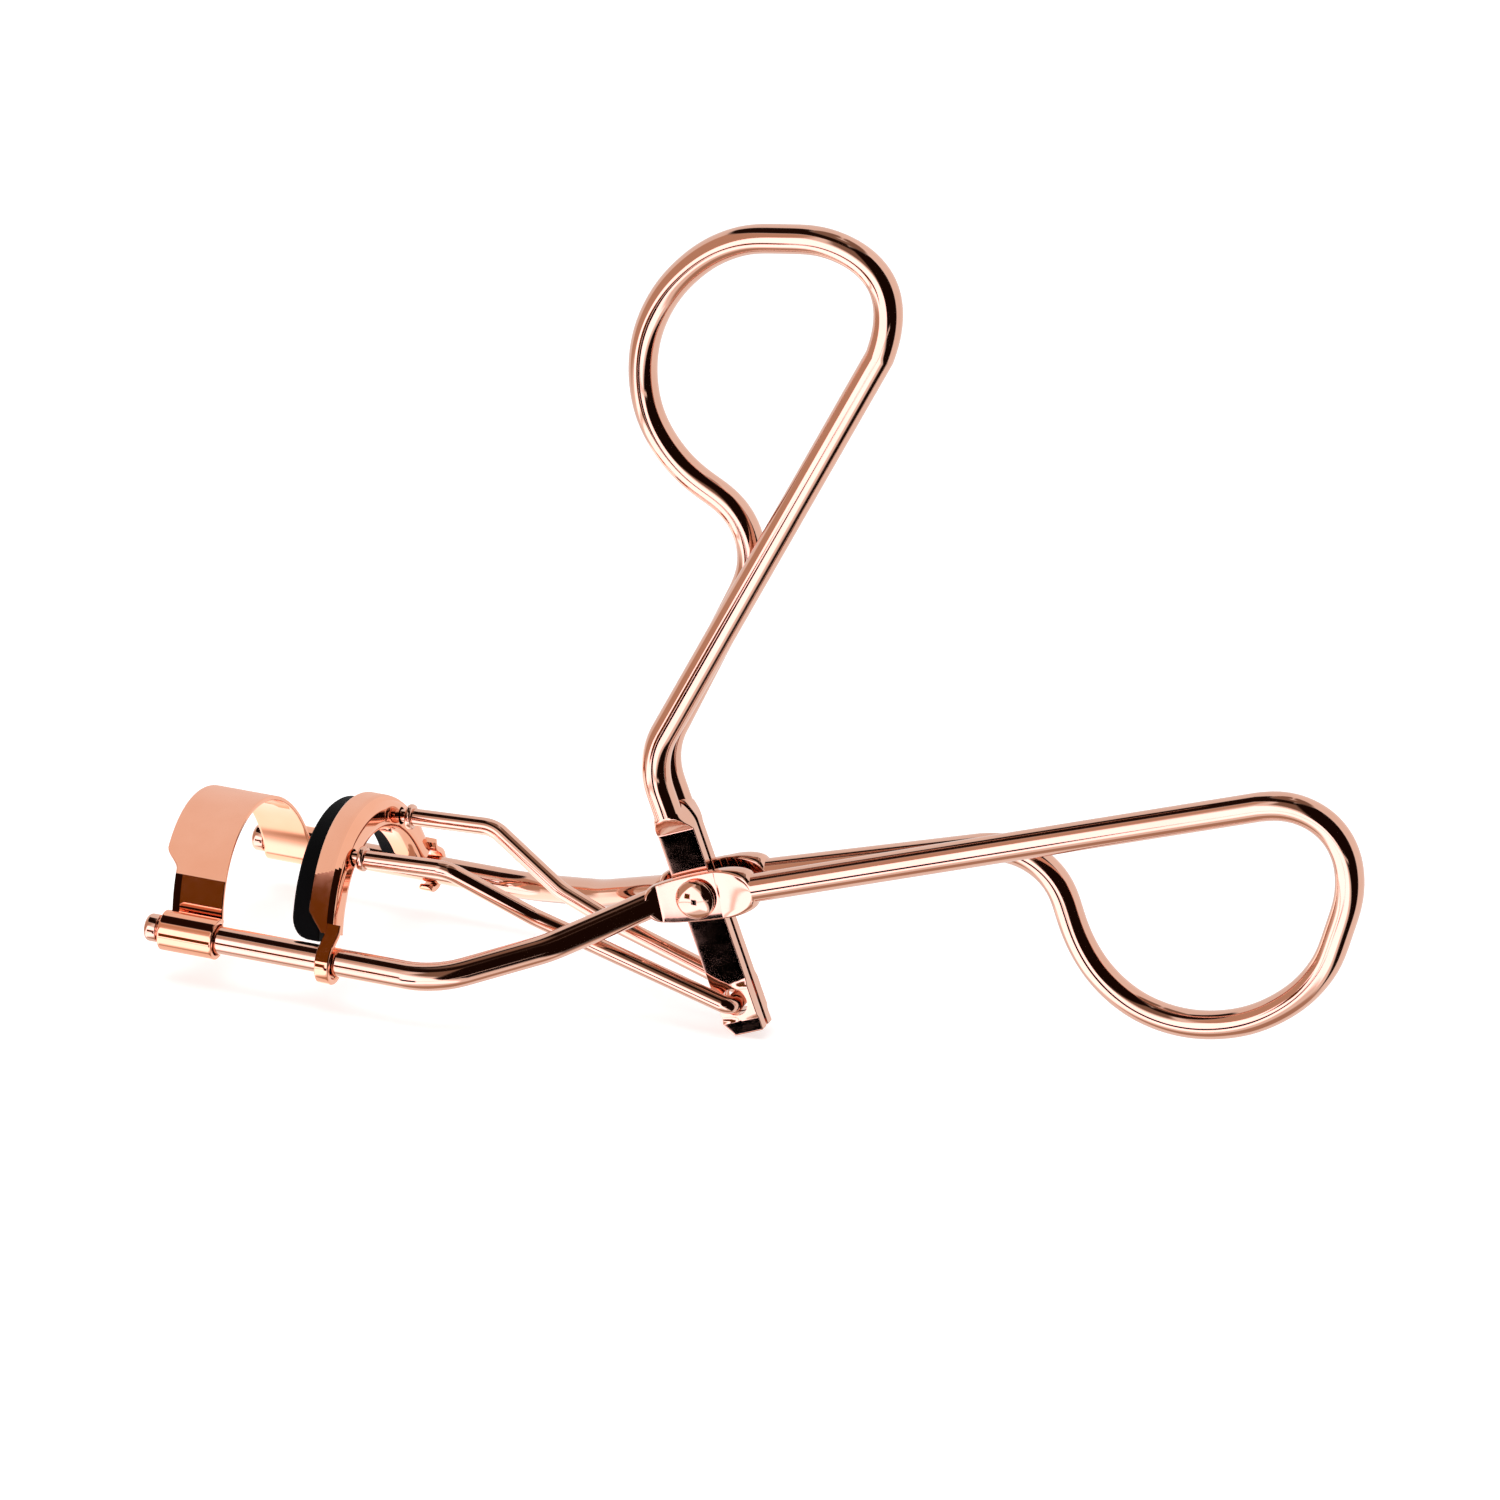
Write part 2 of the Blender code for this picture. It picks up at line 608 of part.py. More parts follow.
wire_finish = material("rose_gold_frame_wire", ROSE_GOLD, POLISHED, 1)
handle_finish = material("rose_gold_handle_wire", ROSE_GOLD, POLISHED, 1)
rivet_finish = material("rose_gold_rivet", ROSE_GOLD, POLISHED, 1)
jaw_finish = material("rose_gold_fixed_jaw", DEEP_ROSE, POLISHED, 1)
channel_finish = material("rose_gold_sliding_jaw", DEEP_ROSE, POLISHED, 1)
link_finish = material("rose_gold_link", ROSE_GOLD, POLISHED, 1)
pad_finish = material("black_silicone", SILICONE, SOFT_RUBBER, 0)

slide_at = (CHANNEL_REAR_X, 0, -ROD_DROP)
hinge_at = link_seat() * (1, 0, 1)

pivot_cut = helper("pivot_hole", bar((0, -ROD_Y, 0), (0, ROD_Y, 0), PIVOT_HOLE_R))
link_at = plate_axis_point(LINK_HOLE_R)
link_cut = helper("link_hole", bar(link_at - (0, ROD_Y, 0), link_at + (0, ROD_Y, 0), LINK_HOLE_D / 2))

frame = add_object("frame_wire", frame_wire())
combine(frame, pivot_cut, "DIFFERENCE")
frame.data.materials.append(wire_finish)

handle = add_object("handle_wire", handle_wire())
combine(handle, pivot_cut, "DIFFERENCE")
combine(handle, link_cut, "DIFFERENCE")
handle.data.materials.append(handle_finish)

rivet = add_object("pivot_rivet", pivot_rivet())
rivet.data.materials.append(rivet_finish)

fixed_jaw = add_object("upper_jaw", upper_jaw())
fixed_jaw.data.materials.append(jaw_finish)

channel_cuts = (-CHANNEL_CUT_FROM, CHANNEL_CUT_FROM)
channel = add_object("lower_jaw", swept_arch(CHANNEL_SPAN, channel_section, channel_cuts), slide_at)
for side, word in ((1, "near"), (-1, "far")):
    combine(channel, helper(f"hook_{word}", hook_strip(side)), "UNION")
    seat = link_seat() * (1, side, 1)
    reach = np.array([CHANNEL_WEB / 2 + CUT_OVERRUN / 2, 0, 0])
    hole = bar(seat - reach, seat + reach, LINK_SPIGOT_D / 2 + LINK_WEB_GAP)
    combine(channel, helper(f"web_hole_{word}", hole), "DIFFERENCE")
channel.data.materials.append(channel_finish)

pad = add_object("lash_pad", swept_arch(PAD_SPAN, pad_section), slide_at)
pad.data.materials.append(pad_finish)

link = add_object("push_link", push_link(), hinge_at)
link.data.materials.append(link_finish)

bpy.context.view_layer.update()
graph = bpy.context.evaluated_depsgraph_get()
corners = []
for made in (frame, handle, rivet, fixed_jaw, channel, pad, link):
    shape = made.evaluated_get(graph)
    corners += [made.matrix_world @ Vector(corner) for corner in shape.bound_box]
low = np.min(corners, axis=0)
high = np.max(corners, axis=0)
base.location = (-(low[0] + high[0]) / 2, -(low[1] + high[1]) / 2, -low[2])
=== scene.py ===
# %% [markdown]
# # An eyelash curler in polished rose gold
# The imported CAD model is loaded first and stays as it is: it carries the joints and the true sizes. Over it
# this lesson builds finer pieces, gives them metal and silicone finishes, and lights them for a catalogue.

# %% Load the frame
import json
import math
import bmesh
import bpy
import numpy as np
from mathutils import Matrix, Vector


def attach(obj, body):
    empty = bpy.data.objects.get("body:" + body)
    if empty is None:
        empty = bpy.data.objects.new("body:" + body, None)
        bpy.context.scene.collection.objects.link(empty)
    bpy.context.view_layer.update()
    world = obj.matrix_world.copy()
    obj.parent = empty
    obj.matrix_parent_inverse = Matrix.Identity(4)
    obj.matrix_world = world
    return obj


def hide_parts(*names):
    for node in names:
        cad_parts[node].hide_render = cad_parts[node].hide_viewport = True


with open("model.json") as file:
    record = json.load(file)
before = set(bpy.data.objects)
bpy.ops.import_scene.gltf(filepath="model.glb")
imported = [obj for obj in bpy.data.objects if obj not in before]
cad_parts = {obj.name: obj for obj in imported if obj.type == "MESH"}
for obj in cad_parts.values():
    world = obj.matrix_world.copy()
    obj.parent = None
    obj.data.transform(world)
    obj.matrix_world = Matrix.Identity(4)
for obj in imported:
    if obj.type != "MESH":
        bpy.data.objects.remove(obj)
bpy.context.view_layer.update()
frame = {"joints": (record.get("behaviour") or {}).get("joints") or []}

MM = 0.001
hinges = {joint["name"]: joint for joint in frame["joints"]}
PIVOT = np.array(hinges["handle_pivot"]["pos_m"]) / MM

# %% [markdown]
# ## The camera
# The photo was taken from the front, a little to the right and above, with a long lens and a slight roll.
# The place was found by laying the CAD outline over the photo, so every size below is seen as in the photo.

# %% Camera
VIEW_AZIMUTH, VIEW_ELEVATION, VIEW_ROLL = 17.666, 20.708, 3.52
VIEW_DISTANCE, VIEW_RIGHT, VIEW_UP = 520.0, 3.672, 11.566
LENS, SENSOR = 149.76, 36.0


def turned(angle_deg):
    """The cosine and sine of an angle in degrees."""
    return math.cos(math.radians(angle_deg)), math.sin(math.radians(angle_deg))


def direction(azimuth, elevation):
    """A unit vector. Azimuth 0 is straight to the front, and grows towards the finger loops."""
    cos_a, sin_a = turned(azimuth)
    cos_e, sin_e = turned(elevation)
    return np.array([sin_a * cos_e, -cos_a * cos_e, sin_e])


backward = direction(VIEW_AZIMUTH, VIEW_ELEVATION)
level = np.array([*turned(VIEW_AZIMUTH), 0])
upright = np.cross(backward, level)
cos_roll, sin_roll = turned(VIEW_ROLL)
rightward = cos_roll * level + sin_roll * upright
upward = cos_roll * upright - sin_roll * level
eye = PIVOT + VIEW_RIGHT * rightward + VIEW_UP * upward + VIEW_DISTANCE * backward

lens = bpy.data.cameras.new("catalogue_lens")
lens.lens = LENS
lens.sensor_width = SENSOR
lens.clip_start = 0.01
camera = bpy.data.objects.new("catalogue_camera", lens)
camera.matrix_world = Matrix.Translation(Vector(eye * MM)) @ Matrix(
    np.column_stack([rightward, upward, backward]).tolist()).to_4x4()
bpy.context.scene.collection.objects.link(camera)
bpy.context.scene.camera = camera
bpy.context.scene.view_settings.view_transform = "Standard"
print("camera", (eye - PIVOT).round(1), "mm from the rivet")

# %% [markdown]
# ## A few small tools
# Colours are written as screen hex values and turned to linear light once. One function adds any node with
# its settings, its fixed values and its links, for materials and for geometry alike. Others put an object in
# the scene and count out the faces of a grid.

# %% Tools for colours, nodes and meshes


def linear(hex_colour):
    """A screen colour such as '#F0B090' as linear RGBA."""
    parts = [int(hex_colour[i:i + 2], 16) / 255 for i in (1, 3, 5)]
    return (*[p / 12.92 if p <= 0.04045 else ((p + 0.055) / 1.055) ** 2.4 for p in parts], 1)


def add(tree, kind, settings, inputs):
    """Adds a node. An input that is a socket is linked, and any other is set as the socket's own value."""
    node = tree.nodes.new(kind)
    for name, value in settings.items():
        setattr(node, name, value)
    for key, value in inputs.items():
        if isinstance(value, bpy.types.NodeSocket):
            tree.links.new(value, node.inputs[key])
        else:
            node.inputs[key].default_value = value
    return node


def in_scene(name, data):
    """A new object for a mesh or a lamp."""
    made = bpy.data.objects.new(name, data)
    bpy.context.scene.collection.objects.link(made)
    return made


def grid_faces(lines, wide):
    """The faces between lines of points, each line as wide as the next."""
    return [(i * wide + j, i * wide + j + 1, (i + 1) * wide + j + 1, (i + 1) * wide + j)
            for i in range(lines - 1) for j in range(wide - 1)]


# %% [markdown]
# ## Rose gold and silicone
# Polished plate over wire shows almost only what stands round it, so its own colour is a warm pink and its
# roughness is low. Real plate is never perfect: the tone drifts a little, drawing leaves faint lines along
# the wire, and polishing leaves the surface faintly wavy, which breaks up the thin lines in a reflection.

# %% Metal finishes
DRIFT_SCALE, SMUDGE_SCALE = 0.35, 1.3


def new_material(name):
    made = bpy.data.materials.new(name)
    made.use_nodes = True
    return made, made.node_tree


def coat(tree, tone, rough, bump):
    """Links a tone, a roughness and a bump to the material's own shader."""
    shader = tree.nodes["Principled BSDF"]
    tree.links.new(tone.outputs["Result"], shader.inputs["Base Color"])
    tree.links.new(rough.outputs["Result"], shader.inputs["Roughness"])
    tree.links.new(bump.outputs["Normal"], shader.inputs["Normal"])
    return shader.inputs


def rose_gold(name, tones, gloss, wave_mm, wave_depth_mm, source):
    """Polished rose-gold plate: two close tones, a drifting gloss and a faint polishing wave."""
    made, tree = new_material(name)
    place = source(tree)
    drift = add(tree, "ShaderNodeTexNoise", {}, {"Vector": place, "Scale": DRIFT_SCALE, "Detail": 3.0})
    tone = add(tree, "ShaderNodeMix", {"data_type": "RGBA"}, {
        "Factor": drift.outputs["Fac"], "A": linear(tones[0]), "B": linear(tones[1])})
    smudge = add(tree, "ShaderNodeTexNoise", {}, {"Vector": place, "Scale": SMUDGE_SCALE, "Detail": 5.0})
    rough = add(tree, "ShaderNodeMapRange", {}, {
        "Value": smudge.outputs["Fac"], "From Min": 0.3, "From Max": 0.7,
        "To Min": gloss[0], "To Max": gloss[1]})
    wave = add(tree, "ShaderNodeTexNoise", {}, {"Vector": place, "Scale": 1 / wave_mm, "Detail": 1.0})
    bump = add(tree, "ShaderNodeBump", {}, {
        "Strength": 1.0, "Distance": wave_depth_mm * MM, "Height": wave.outputs["Fac"]})
    coat(tree, tone, rough, bump)["Metallic"].default_value = 1.0
    return made


def drawn_place(tree):
    """Millimetres round and along the wire, kept on its mesh, with the length shortened to draw lines out."""
    kept = add(tree, "ShaderNodeAttribute", {"attribute_name": "drawn"}, {})
    return add(tree, "ShaderNodeMapping", {}, {
        "Vector": kept.outputs["Vector"], "Scale": (1, 1, 0.5)}).outputs["Vector"]


def object_place(tree):
    """Object coordinates in millimetres."""
    place = add(tree, "ShaderNodeTexCoord", {}, {})
    return add(tree, "ShaderNodeMapping", {}, {
        "Vector": place.outputs["Object"], "Scale": (1000, 1000, 1000)}).outputs["Vector"]


WIRE_TONES = ("#E9BAA6", "#DDA891")
SHEET_TONES = ("#F9B596", "#F2A784")
wire_finish = rose_gold("polished_rose_gold_wire", WIRE_TONES, (0.04, 0.1), 2.2, 0.004, drawn_place)
sheet_finish = rose_gold("polished_rose_gold_sheet", SHEET_TONES, (0.03, 0.06), 4.0, 0.003, object_place)
print("metals", wire_finish.name, sheet_finish.name)

# %% [markdown]
# The pad is moulded silicone. It is nearly black, with a grain so fine that it only widens the highlight. The
# IOR is silicone's own. Its specular level is set low, because the photo's pad shows hardly any shine.

# %% Silicone finish
SILICONE_TONES = ("#060607", "#0A0A0B")
SILICONE_IOR, SILICONE_SHINE = 1.41, 0.06
GRAIN_MM, GRAIN_DEPTH_MM = 0.12, 0.006


def satin_silicone():
    made, tree = new_material("satin_black_silicone")
    place = object_place(tree)
    grain = add(tree, "ShaderNodeTexNoise", {}, {"Vector": place, "Scale": 1 / GRAIN_MM, "Detail": 3.0})
    cloud = add(tree, "ShaderNodeTexNoise", {}, {"Vector": place, "Scale": 0.4, "Detail": 2.0})
    tone = add(tree, "ShaderNodeMix", {"data_type": "RGBA"}, {
        "Factor": cloud.outputs["Fac"], "A": linear(SILICONE_TONES[0]), "B": linear(SILICONE_TONES[1])})
    rough = add(tree, "ShaderNodeMapRange", {}, {
        "Value": grain.outputs["Fac"], "From Min": 0.3, "From Max": 0.7, "To Min": 0.5, "To Max": 0.65})
    bump = add(tree, "ShaderNodeBump", {}, {
        "Strength": 0.6, "Distance": GRAIN_DEPTH_MM * MM, "Height": grain.outputs["Fac"]})
    inputs = coat(tree, tone, rough, bump)
    inputs["IOR"].default_value = SILICONE_IOR
    inputs["Specular IOR Level"].default_value = SILICONE_SHINE
    return made


pad_finish = satin_silicone()
print("silicone", pad_finish.name)

# %% [markdown]
# ## One rule for every wire
# Each wire is drawn round and then forged flat in places. So a wire is a path, and each place on the path
# says how far the section reaches to the left and right, how thick it is, how round its corners are and how
# its face slants: a circle where the corner is as big as the wire, a bar with softened edges where it was
# forged. A node tree sweeps it.

# %% Wire tree
WIRE_R = 1.2
FLAT_SHARE = 3.0
WIRE_SIDES = 48


def wire_tree():
    """Path with attributes in, swept wire out. Flat share says how sharply a round section becomes a bar."""
    tree = bpy.data.node_groups.new("forged_wire", "GeometryNodeTree")
    face = tree.interface
    face.new_socket("Path", in_out="INPUT", socket_type="NodeSocketGeometry")
    face.new_socket("Sides", in_out="INPUT", socket_type="NodeSocketInt")
    face.new_socket("Flat share", in_out="INPUT", socket_type="NodeSocketFloat")
    face.new_socket("Finish", in_out="INPUT", socket_type="NodeSocketMaterial")
    face.new_socket("Wire", in_out="OUTPUT", socket_type="NodeSocketGeometry")
    given = add(tree, "NodeGroupInput", {}, {}).outputs

    def math_of(operation, first, second=0.0):
        return add(tree, "ShaderNodeMath", {"operation": operation}, {0: first, 1: second}).outputs[0]

    def vector_of(operation, first, second, key=1):
        return add(tree, "ShaderNodeVectorMath", {"operation": operation}, {0: first, key: second}).outputs[0]

    def named(kind, name):
        made = add(tree, "GeometryNodeInputNamedAttribute", {"data_type": kind}, {"Name": name})
        return made.outputs["Attribute"]

    def squared(wave):
        steep = math_of("MULTIPLY", wave, given["Flat share"])
        return math_of("MAXIMUM", math_of("MINIMUM", steep, 1.0), -1.0)

    path = add(tree, "GeometryNodeMeshToCurve", {}, {"Mesh": given["Path"]})
    ring = add(tree, "GeometryNodeCurvePrimitiveCircle", {}, {"Resolution": given["Sides"], "Radius": MM})
    part = add(tree, "GeometryNodeSplineParameter", {}, {})
    turn = math_of("MULTIPLY", part.outputs["Factor"], math.tau)
    ring = add(tree, "GeometryNodeStoreNamedAttribute", {"data_type": "FLOAT", "domain": "POINT"}, {
        "Geometry": ring.outputs["Curve"], "Name": "turn", "Value": turn})
    swept = add(tree, "GeometryNodeCurveToMesh", {}, {
        "Curve": path.outputs["Curve"], "Profile Curve": ring.outputs["Geometry"], "Fill Caps": True})
    angle = named("FLOAT", "turn")
    cos_t = math_of("COSINE", angle)
    sin_t = math_of("SINE", angle)
    flat_x = squared(cos_t)
    flat_y = squared(sin_t)
    is_right = math_of("GREATER_THAN", cos_t, 0.0)
    left, right = named("FLOAT", "left"), named("FLOAT", "right")
    width = math_of("ADD", left, math_of("MULTIPLY", is_right, math_of("SUBTRACT", right, left)))
    corner = named("FLOAT", "corner")
    across = math_of("ADD", math_of("MULTIPLY", math_of("SUBTRACT", width, corner), flat_x),
                     math_of("MULTIPLY", corner, cos_t))
    thick = math_of("ADD", math_of("MULTIPLY", math_of("SUBTRACT", named("FLOAT", "half"), corner), flat_y),
                    math_of("MULTIPLY", corner, sin_t))
    slanted = math_of("MULTIPLY", flat_y, named("FLOAT", "slant"))
    slanted = math_of("MAXIMUM", math_of("MULTIPLY", slanted, -1.0), 0.0)
    thick = math_of("SUBTRACT", thick, math_of("MULTIPLY", across, slanted))
    aside = vector_of("SCALE", named("FLOAT_VECTOR", "across"), across, 3)
    spot = vector_of("ADD", named("FLOAT_VECTOR", "centre"), aside)
    spot = vector_of("ADD", spot, vector_of("SCALE", named("FLOAT_VECTOR", "up"), thick, 3))
    placed = add(tree, "GeometryNodeSetPosition", {}, {"Geometry": swept.outputs["Mesh"], "Position": spot})
    drawn = add(tree, "ShaderNodeCombineXYZ", {}, {
        0: math_of("MULTIPLY", cos_t, WIRE_R), 1: math_of("MULTIPLY", sin_t, WIRE_R),
        2: named("FLOAT", "along")})
    kept = add(tree, "GeometryNodeStoreNamedAttribute", {"data_type": "FLOAT_VECTOR", "domain": "POINT"}, {
        "Geometry": placed.outputs["Geometry"], "Name": "drawn", "Value": drawn.outputs[0]})
    real = add(tree, "GeometryNodeRealizeInstances", {}, {"Geometry": kept.outputs["Geometry"]})
    done = add(tree, "GeometryNodeSetMaterial", {}, {
        "Geometry": real.outputs["Geometry"], "Material": given["Finish"]})
    add(tree, "NodeGroupOutput", {}, {"Wire": done.outputs["Geometry"]})
    return tree


WIRE_TREE = wire_tree()
print("wire tree has", len(WIRE_TREE.nodes), "nodes")

# %% [markdown]
# The tree is run on a path and the result is kept as a plain mesh. The frame across a path follows one given
# axis where the forging has a side, and otherwise is carried along without twist.

# %% Run the wire tree


def unit(vector):
    return vector / np.linalg.norm(vector)


def tangents_of(points):
    """Directions along a path. A step in radius at one place takes the direction before it."""
    steps = np.diff(points, axis=0)
    moved = np.flatnonzero(np.linalg.norm(steps, axis=1) > 1e-6)
    steps = steps[moved[np.clip(np.searchsorted(moved, np.arange(len(steps)), "right") - 1, 0, None)]]
    steps /= np.linalg.norm(steps, axis=1, keepdims=True)
    sums = np.vstack([steps[:1], steps[:-1] + steps[1:], steps[-1:]])
    return sums / np.linalg.norm(sums, axis=1, keepdims=True)


def sides_of(tangents, axis):
    if axis is not None:
        across = np.cross(axis, tangents)
        return across / np.linalg.norm(across, axis=1, keepdims=True)
    side = np.cross(tangents[0], (0, 0, 1))
    carried = []
    for tangent in tangents:
        side = unit(side - tangent * (side @ tangent))
        carried.append(side)
    return np.array(carried)


def plain(name, mesh):
    """An object for a mesh, at the origin, with outward faces."""
    shaped = bmesh.new()
    shaped.from_mesh(mesh)
    bmesh.ops.recalc_face_normals(shaped, faces=shaped.faces)
    shaped.to_mesh(mesh)
    shaped.free()
    return in_scene(name, mesh)


def settled(piece):
    """The piece with its modifiers worked into a plain mesh."""
    graph = bpy.context.evaluated_depsgraph_get()
    mesh = bpy.data.meshes.new_from_object(
        piece.evaluated_get(graph), preserve_all_data_layers=True, depsgraph=graph)
    name = piece.name
    bpy.data.objects.remove(piece)
    return plain(name, mesh)


def wire(name, rows, finish, axis=(0, 1, 0)):
    """Sweeps rows of x, y, z, left, right, half thickness, corner radius and face slant."""
    points = rows[:, :3]
    tangents = tangents_of(points)
    across = sides_of(tangents, axis)
    along = np.concatenate([[0], np.cumsum(np.linalg.norm(np.diff(points, axis=0), axis=1))])
    mesh = bpy.data.meshes.new(name)
    mesh.from_pydata(((points + PIVOT) * MM).tolist(), [(i, i + 1) for i in range(len(points) - 1)], [])
    vectors = {"centre": (points + PIVOT) * MM, "across": across, "up": np.cross(tangents, across)}
    for key, values in vectors.items():
        mesh.attributes.new(key, "FLOAT_VECTOR", "POINT").data.foreach_set("vector", values.ravel())
    numbers = dict(zip(("left", "right", "half", "corner"), rows[:, 3:7].T * MM))
    numbers.update(slant=rows[:, 7], along=along)
    for key, values in numbers.items():
        mesh.attributes.new(key, "FLOAT", "POINT").data.foreach_set("value", values)
    piece = in_scene(name, mesh)
    sweep = piece.modifiers.new("forged wire", "NODES")
    sweep.node_group = WIRE_TREE
    values = {"Sides": WIRE_SIDES, "Flat share": FLAT_SHARE, "Finish": finish}
    for item in WIRE_TREE.interface.items_tree:
        if item.name in values:
            sweep[item.identifier] = values[item.name]
    made = settled(piece)
    for key in ("turn", *vectors, *numbers):
        layer = made.data.attributes.get(key)
        if layer:
            made.data.attributes.remove(layer)
    return made


def round_rows(points, radii):
    """Rows for a round wire."""
    sizes = np.repeat(np.broadcast_to(radii, len(points))[:, None], 4, axis=1)
    return np.hstack([points, sizes, np.zeros((len(points), 1))])


def cut_holes(piece, *cutters):
    for cutter in cutters:
        hole = piece.modifiers.new(cutter.name, "BOOLEAN")
        hole.operation = "DIFFERENCE"
        hole.solver = "EXACT"
        hole.object = cutter
    return settled(piece)


def soften(piece, edge_mm, sharp_deg=35):
    """Breaks the sharp edges with a small bevel and shades the rest smooth."""
    bevel = piece.modifiers.new("edge", "BEVEL")
    bevel.width = edge_mm * MM
    bevel.segments = 2
    bevel.limit_method = "ANGLE"
    bevel.angle_limit = math.radians(sharp_deg)
    bevel.use_clamp_overlap = True
    made = settled(piece)
    smooth(made)
    return made


def smooth(piece, sharp_deg=50):
    """Shades smooth. Faces count by their area, so a forged flat stays flat up to its rounded edge."""
    mesh = piece.data
    mesh.shade_smooth()
    facing = np.array([face.normal for face in mesh.polygons])
    weighted = facing * np.array([[face.area] for face in mesh.polygons])
    around = [[] for _ in mesh.vertices]
    for face in mesh.polygons:
        for vertex in face.vertices:
            around[vertex].append(face.index)
    normals = np.zeros((len(mesh.loops), 3))
    for face in mesh.polygons:
        for corner, vertex in zip(face.loop_indices, face.vertices):
            near = around[vertex]
            alike = facing[near] @ facing[face.index] > turned(sharp_deg)[0]
            normals[corner] = alike @ weighted[near]
    normals /= np.maximum(np.linalg.norm(normals, axis=1, keepdims=True), 1e-30)
    mesh.normals_split_custom_set(normals.tolist())


# %% [markdown]
# ## Paths
# A wire bender works with straight runs and bend radii, and so does this: corners with a radius for each.
# Both finger loops are one outline of three arcs, on which the wire crosses from the near leg to the far one.
# A wire bent by hand strays a few tenths of a millimetre from its outline, so each loop has its own bulges.

# %% Bent paths and the finger loop
LOOP_Y = 1.35
LEG_LENGTH, LOOP_CORNER_R, LOOP_R, LOOP_SETBACK, LOOP_DEPTH = 49.3, 6.05, 11.8, 7.2, 6.4
LOOP_RETURN_R, LOOP_RETURN_IN = 6.1, 0.55
BEND_STEP, EASE_STEP, EASE_ROUNDS = 2.5, 0.4, 20
LOWER_BULGE = ((0, 4, 6, 8, 11, 14, 16.5, 20, 25, 30, 34, 37.5, 41, 45, 49),
               (0, 0.15, 0.2, 0.05, -0.2, 0.05, 0.27, 0.1, 0, 0.18, 0.45, 0.6, 0.48, 0.15, 0))
UPPER_BULGE = ((0, 2, 4, 6, 8, 11, 13.5, 16, 20, 25, 29, 35, 39, 43, 48),
               (0, -0.15, 0, 0.22, 0.1, -0.1, 0.15, 0.36, 0.05, -0.27, -0.24, 0.05, 0.27, 0.2, 0))


def bent_path(corners, radii):
    """A polyline in space whose inner corners are rounded to the given radii."""
    corners = [np.array(corner, float) for corner in corners]
    points = [corners[0]]
    for before, corner, after, radius in zip(corners, corners[1:], corners[2:], radii):
        back = unit(before - corner)
        ahead = unit(after - corner)
        opening = math.acos(float(np.clip(back @ ahead, -1, 1)))
        centre = corner + unit(back + ahead) * radius / math.sin(opening / 2)
        reach = radius / math.tan(opening / 2)
        first = corner + back * reach - centre
        last = corner + ahead * reach - centre
        turn = math.pi - opening
        for part in np.linspace(0, 1, max(4, math.ceil(math.degrees(turn) / BEND_STEP)) + 1):
            mixed = math.sin((1 - part) * turn) * first + math.sin(part * turn) * last
            points.append(centre + mixed / math.sin(turn))
    points.append(corners[-1])
    return np.array(points)


def arc(centre, radius, first, last):
    angles = np.linspace(first, last, max(4, math.ceil(abs(last - first) / BEND_STEP)) + 1)
    return np.array([centre + radius * np.array(turned(angle)) for angle in angles])


def averaged(spots):
    """Each point of a path moved towards its neighbours' middle, many times over."""
    moved = spots.copy()
    for _ in range(EASE_ROUNDS):
        moved[1:-1] += 0.25 * (moved[:-2] + moved[2:] - 2 * moved[1:-1])
    return moved


def eased_path(points):
    """Evens out a path's points and eases its bends, as a wire does. What averaging shrinks is given back."""
    travelled = np.concatenate([[0], np.cumsum(np.linalg.norm(np.diff(points, axis=0), axis=1))])
    even = np.linspace(0, travelled[-1], round(travelled[-1] / EASE_STEP))
    spots = np.column_stack([np.interp(even, travelled, column) for column in points.T])
    once = averaged(spots)
    return 2 * once - averaged(once)


def finger_loop(foot, along, towards, bulge):
    """The loop out of the near leg, round the fingers and back into the far leg, with its own bulges."""
    corner = np.array([LEG_LENGTH, LOOP_CORNER_R])
    centre = np.array([LEG_LENGTH - LOOP_SETBACK, LOOP_DEPTH])
    between = centre - corner
    lean = math.acos((LOOP_CORNER_R - LOOP_R) / np.linalg.norm(between))
    leave = math.degrees(math.atan2(between[1], between[0]) - lean)
    back_w = LOOP_RETURN_R + LOOP_RETURN_IN
    reach = LOOP_R + LOOP_RETURN_R
    back = np.array([centre[0] - math.sqrt(reach ** 2 - (LOOP_DEPTH - back_w) ** 2), back_w])
    meet = math.degrees(math.atan2(back[1] - centre[1], back[0] - centre[0])) % 360
    home = arc(back, LOOP_RETURN_R, meet - 180, -90)[1:]
    home_length = LOOP_RETURN_R * math.radians(abs(meet - 180 + 90))
    flat = np.vstack([arc(corner, LOOP_CORNER_R, -90, leave), arc(centre, LOOP_R, leave, meet)[1:], home])
    travelled = np.cumsum(np.linalg.norm(np.diff(flat, axis=0, prepend=flat[:1]), axis=1))
    heading = np.gradient(flat, axis=0)
    heading /= np.linalg.norm(heading, axis=1, keepdims=True)
    flat = eased_path(flat + heading[:, ::-1] * (1, -1) * np.interp(travelled, *bulge)[:, None])
    travelled = np.cumsum(np.linalg.norm(np.diff(flat, axis=0, prepend=flat[:1]), axis=1))
    part = np.clip(travelled / (travelled[-1] - home_length), 0, 1)
    spots = np.outer(flat[:, 0], along) + np.outer(flat[:, 1], towards) + foot
    spots[:, 1] = LOOP_Y * (2 * part * part * (3 - 2 * part) - 1)
    return round_rows(spots, WIRE_R)


def mirrored(rows):
    """The same wire on the far side, run backwards."""
    far = rows[::-1].copy()
    far[:, [1, 7]] *= -1
    far[:, [3, 4]] = far[:, [4, 3]]
    return far


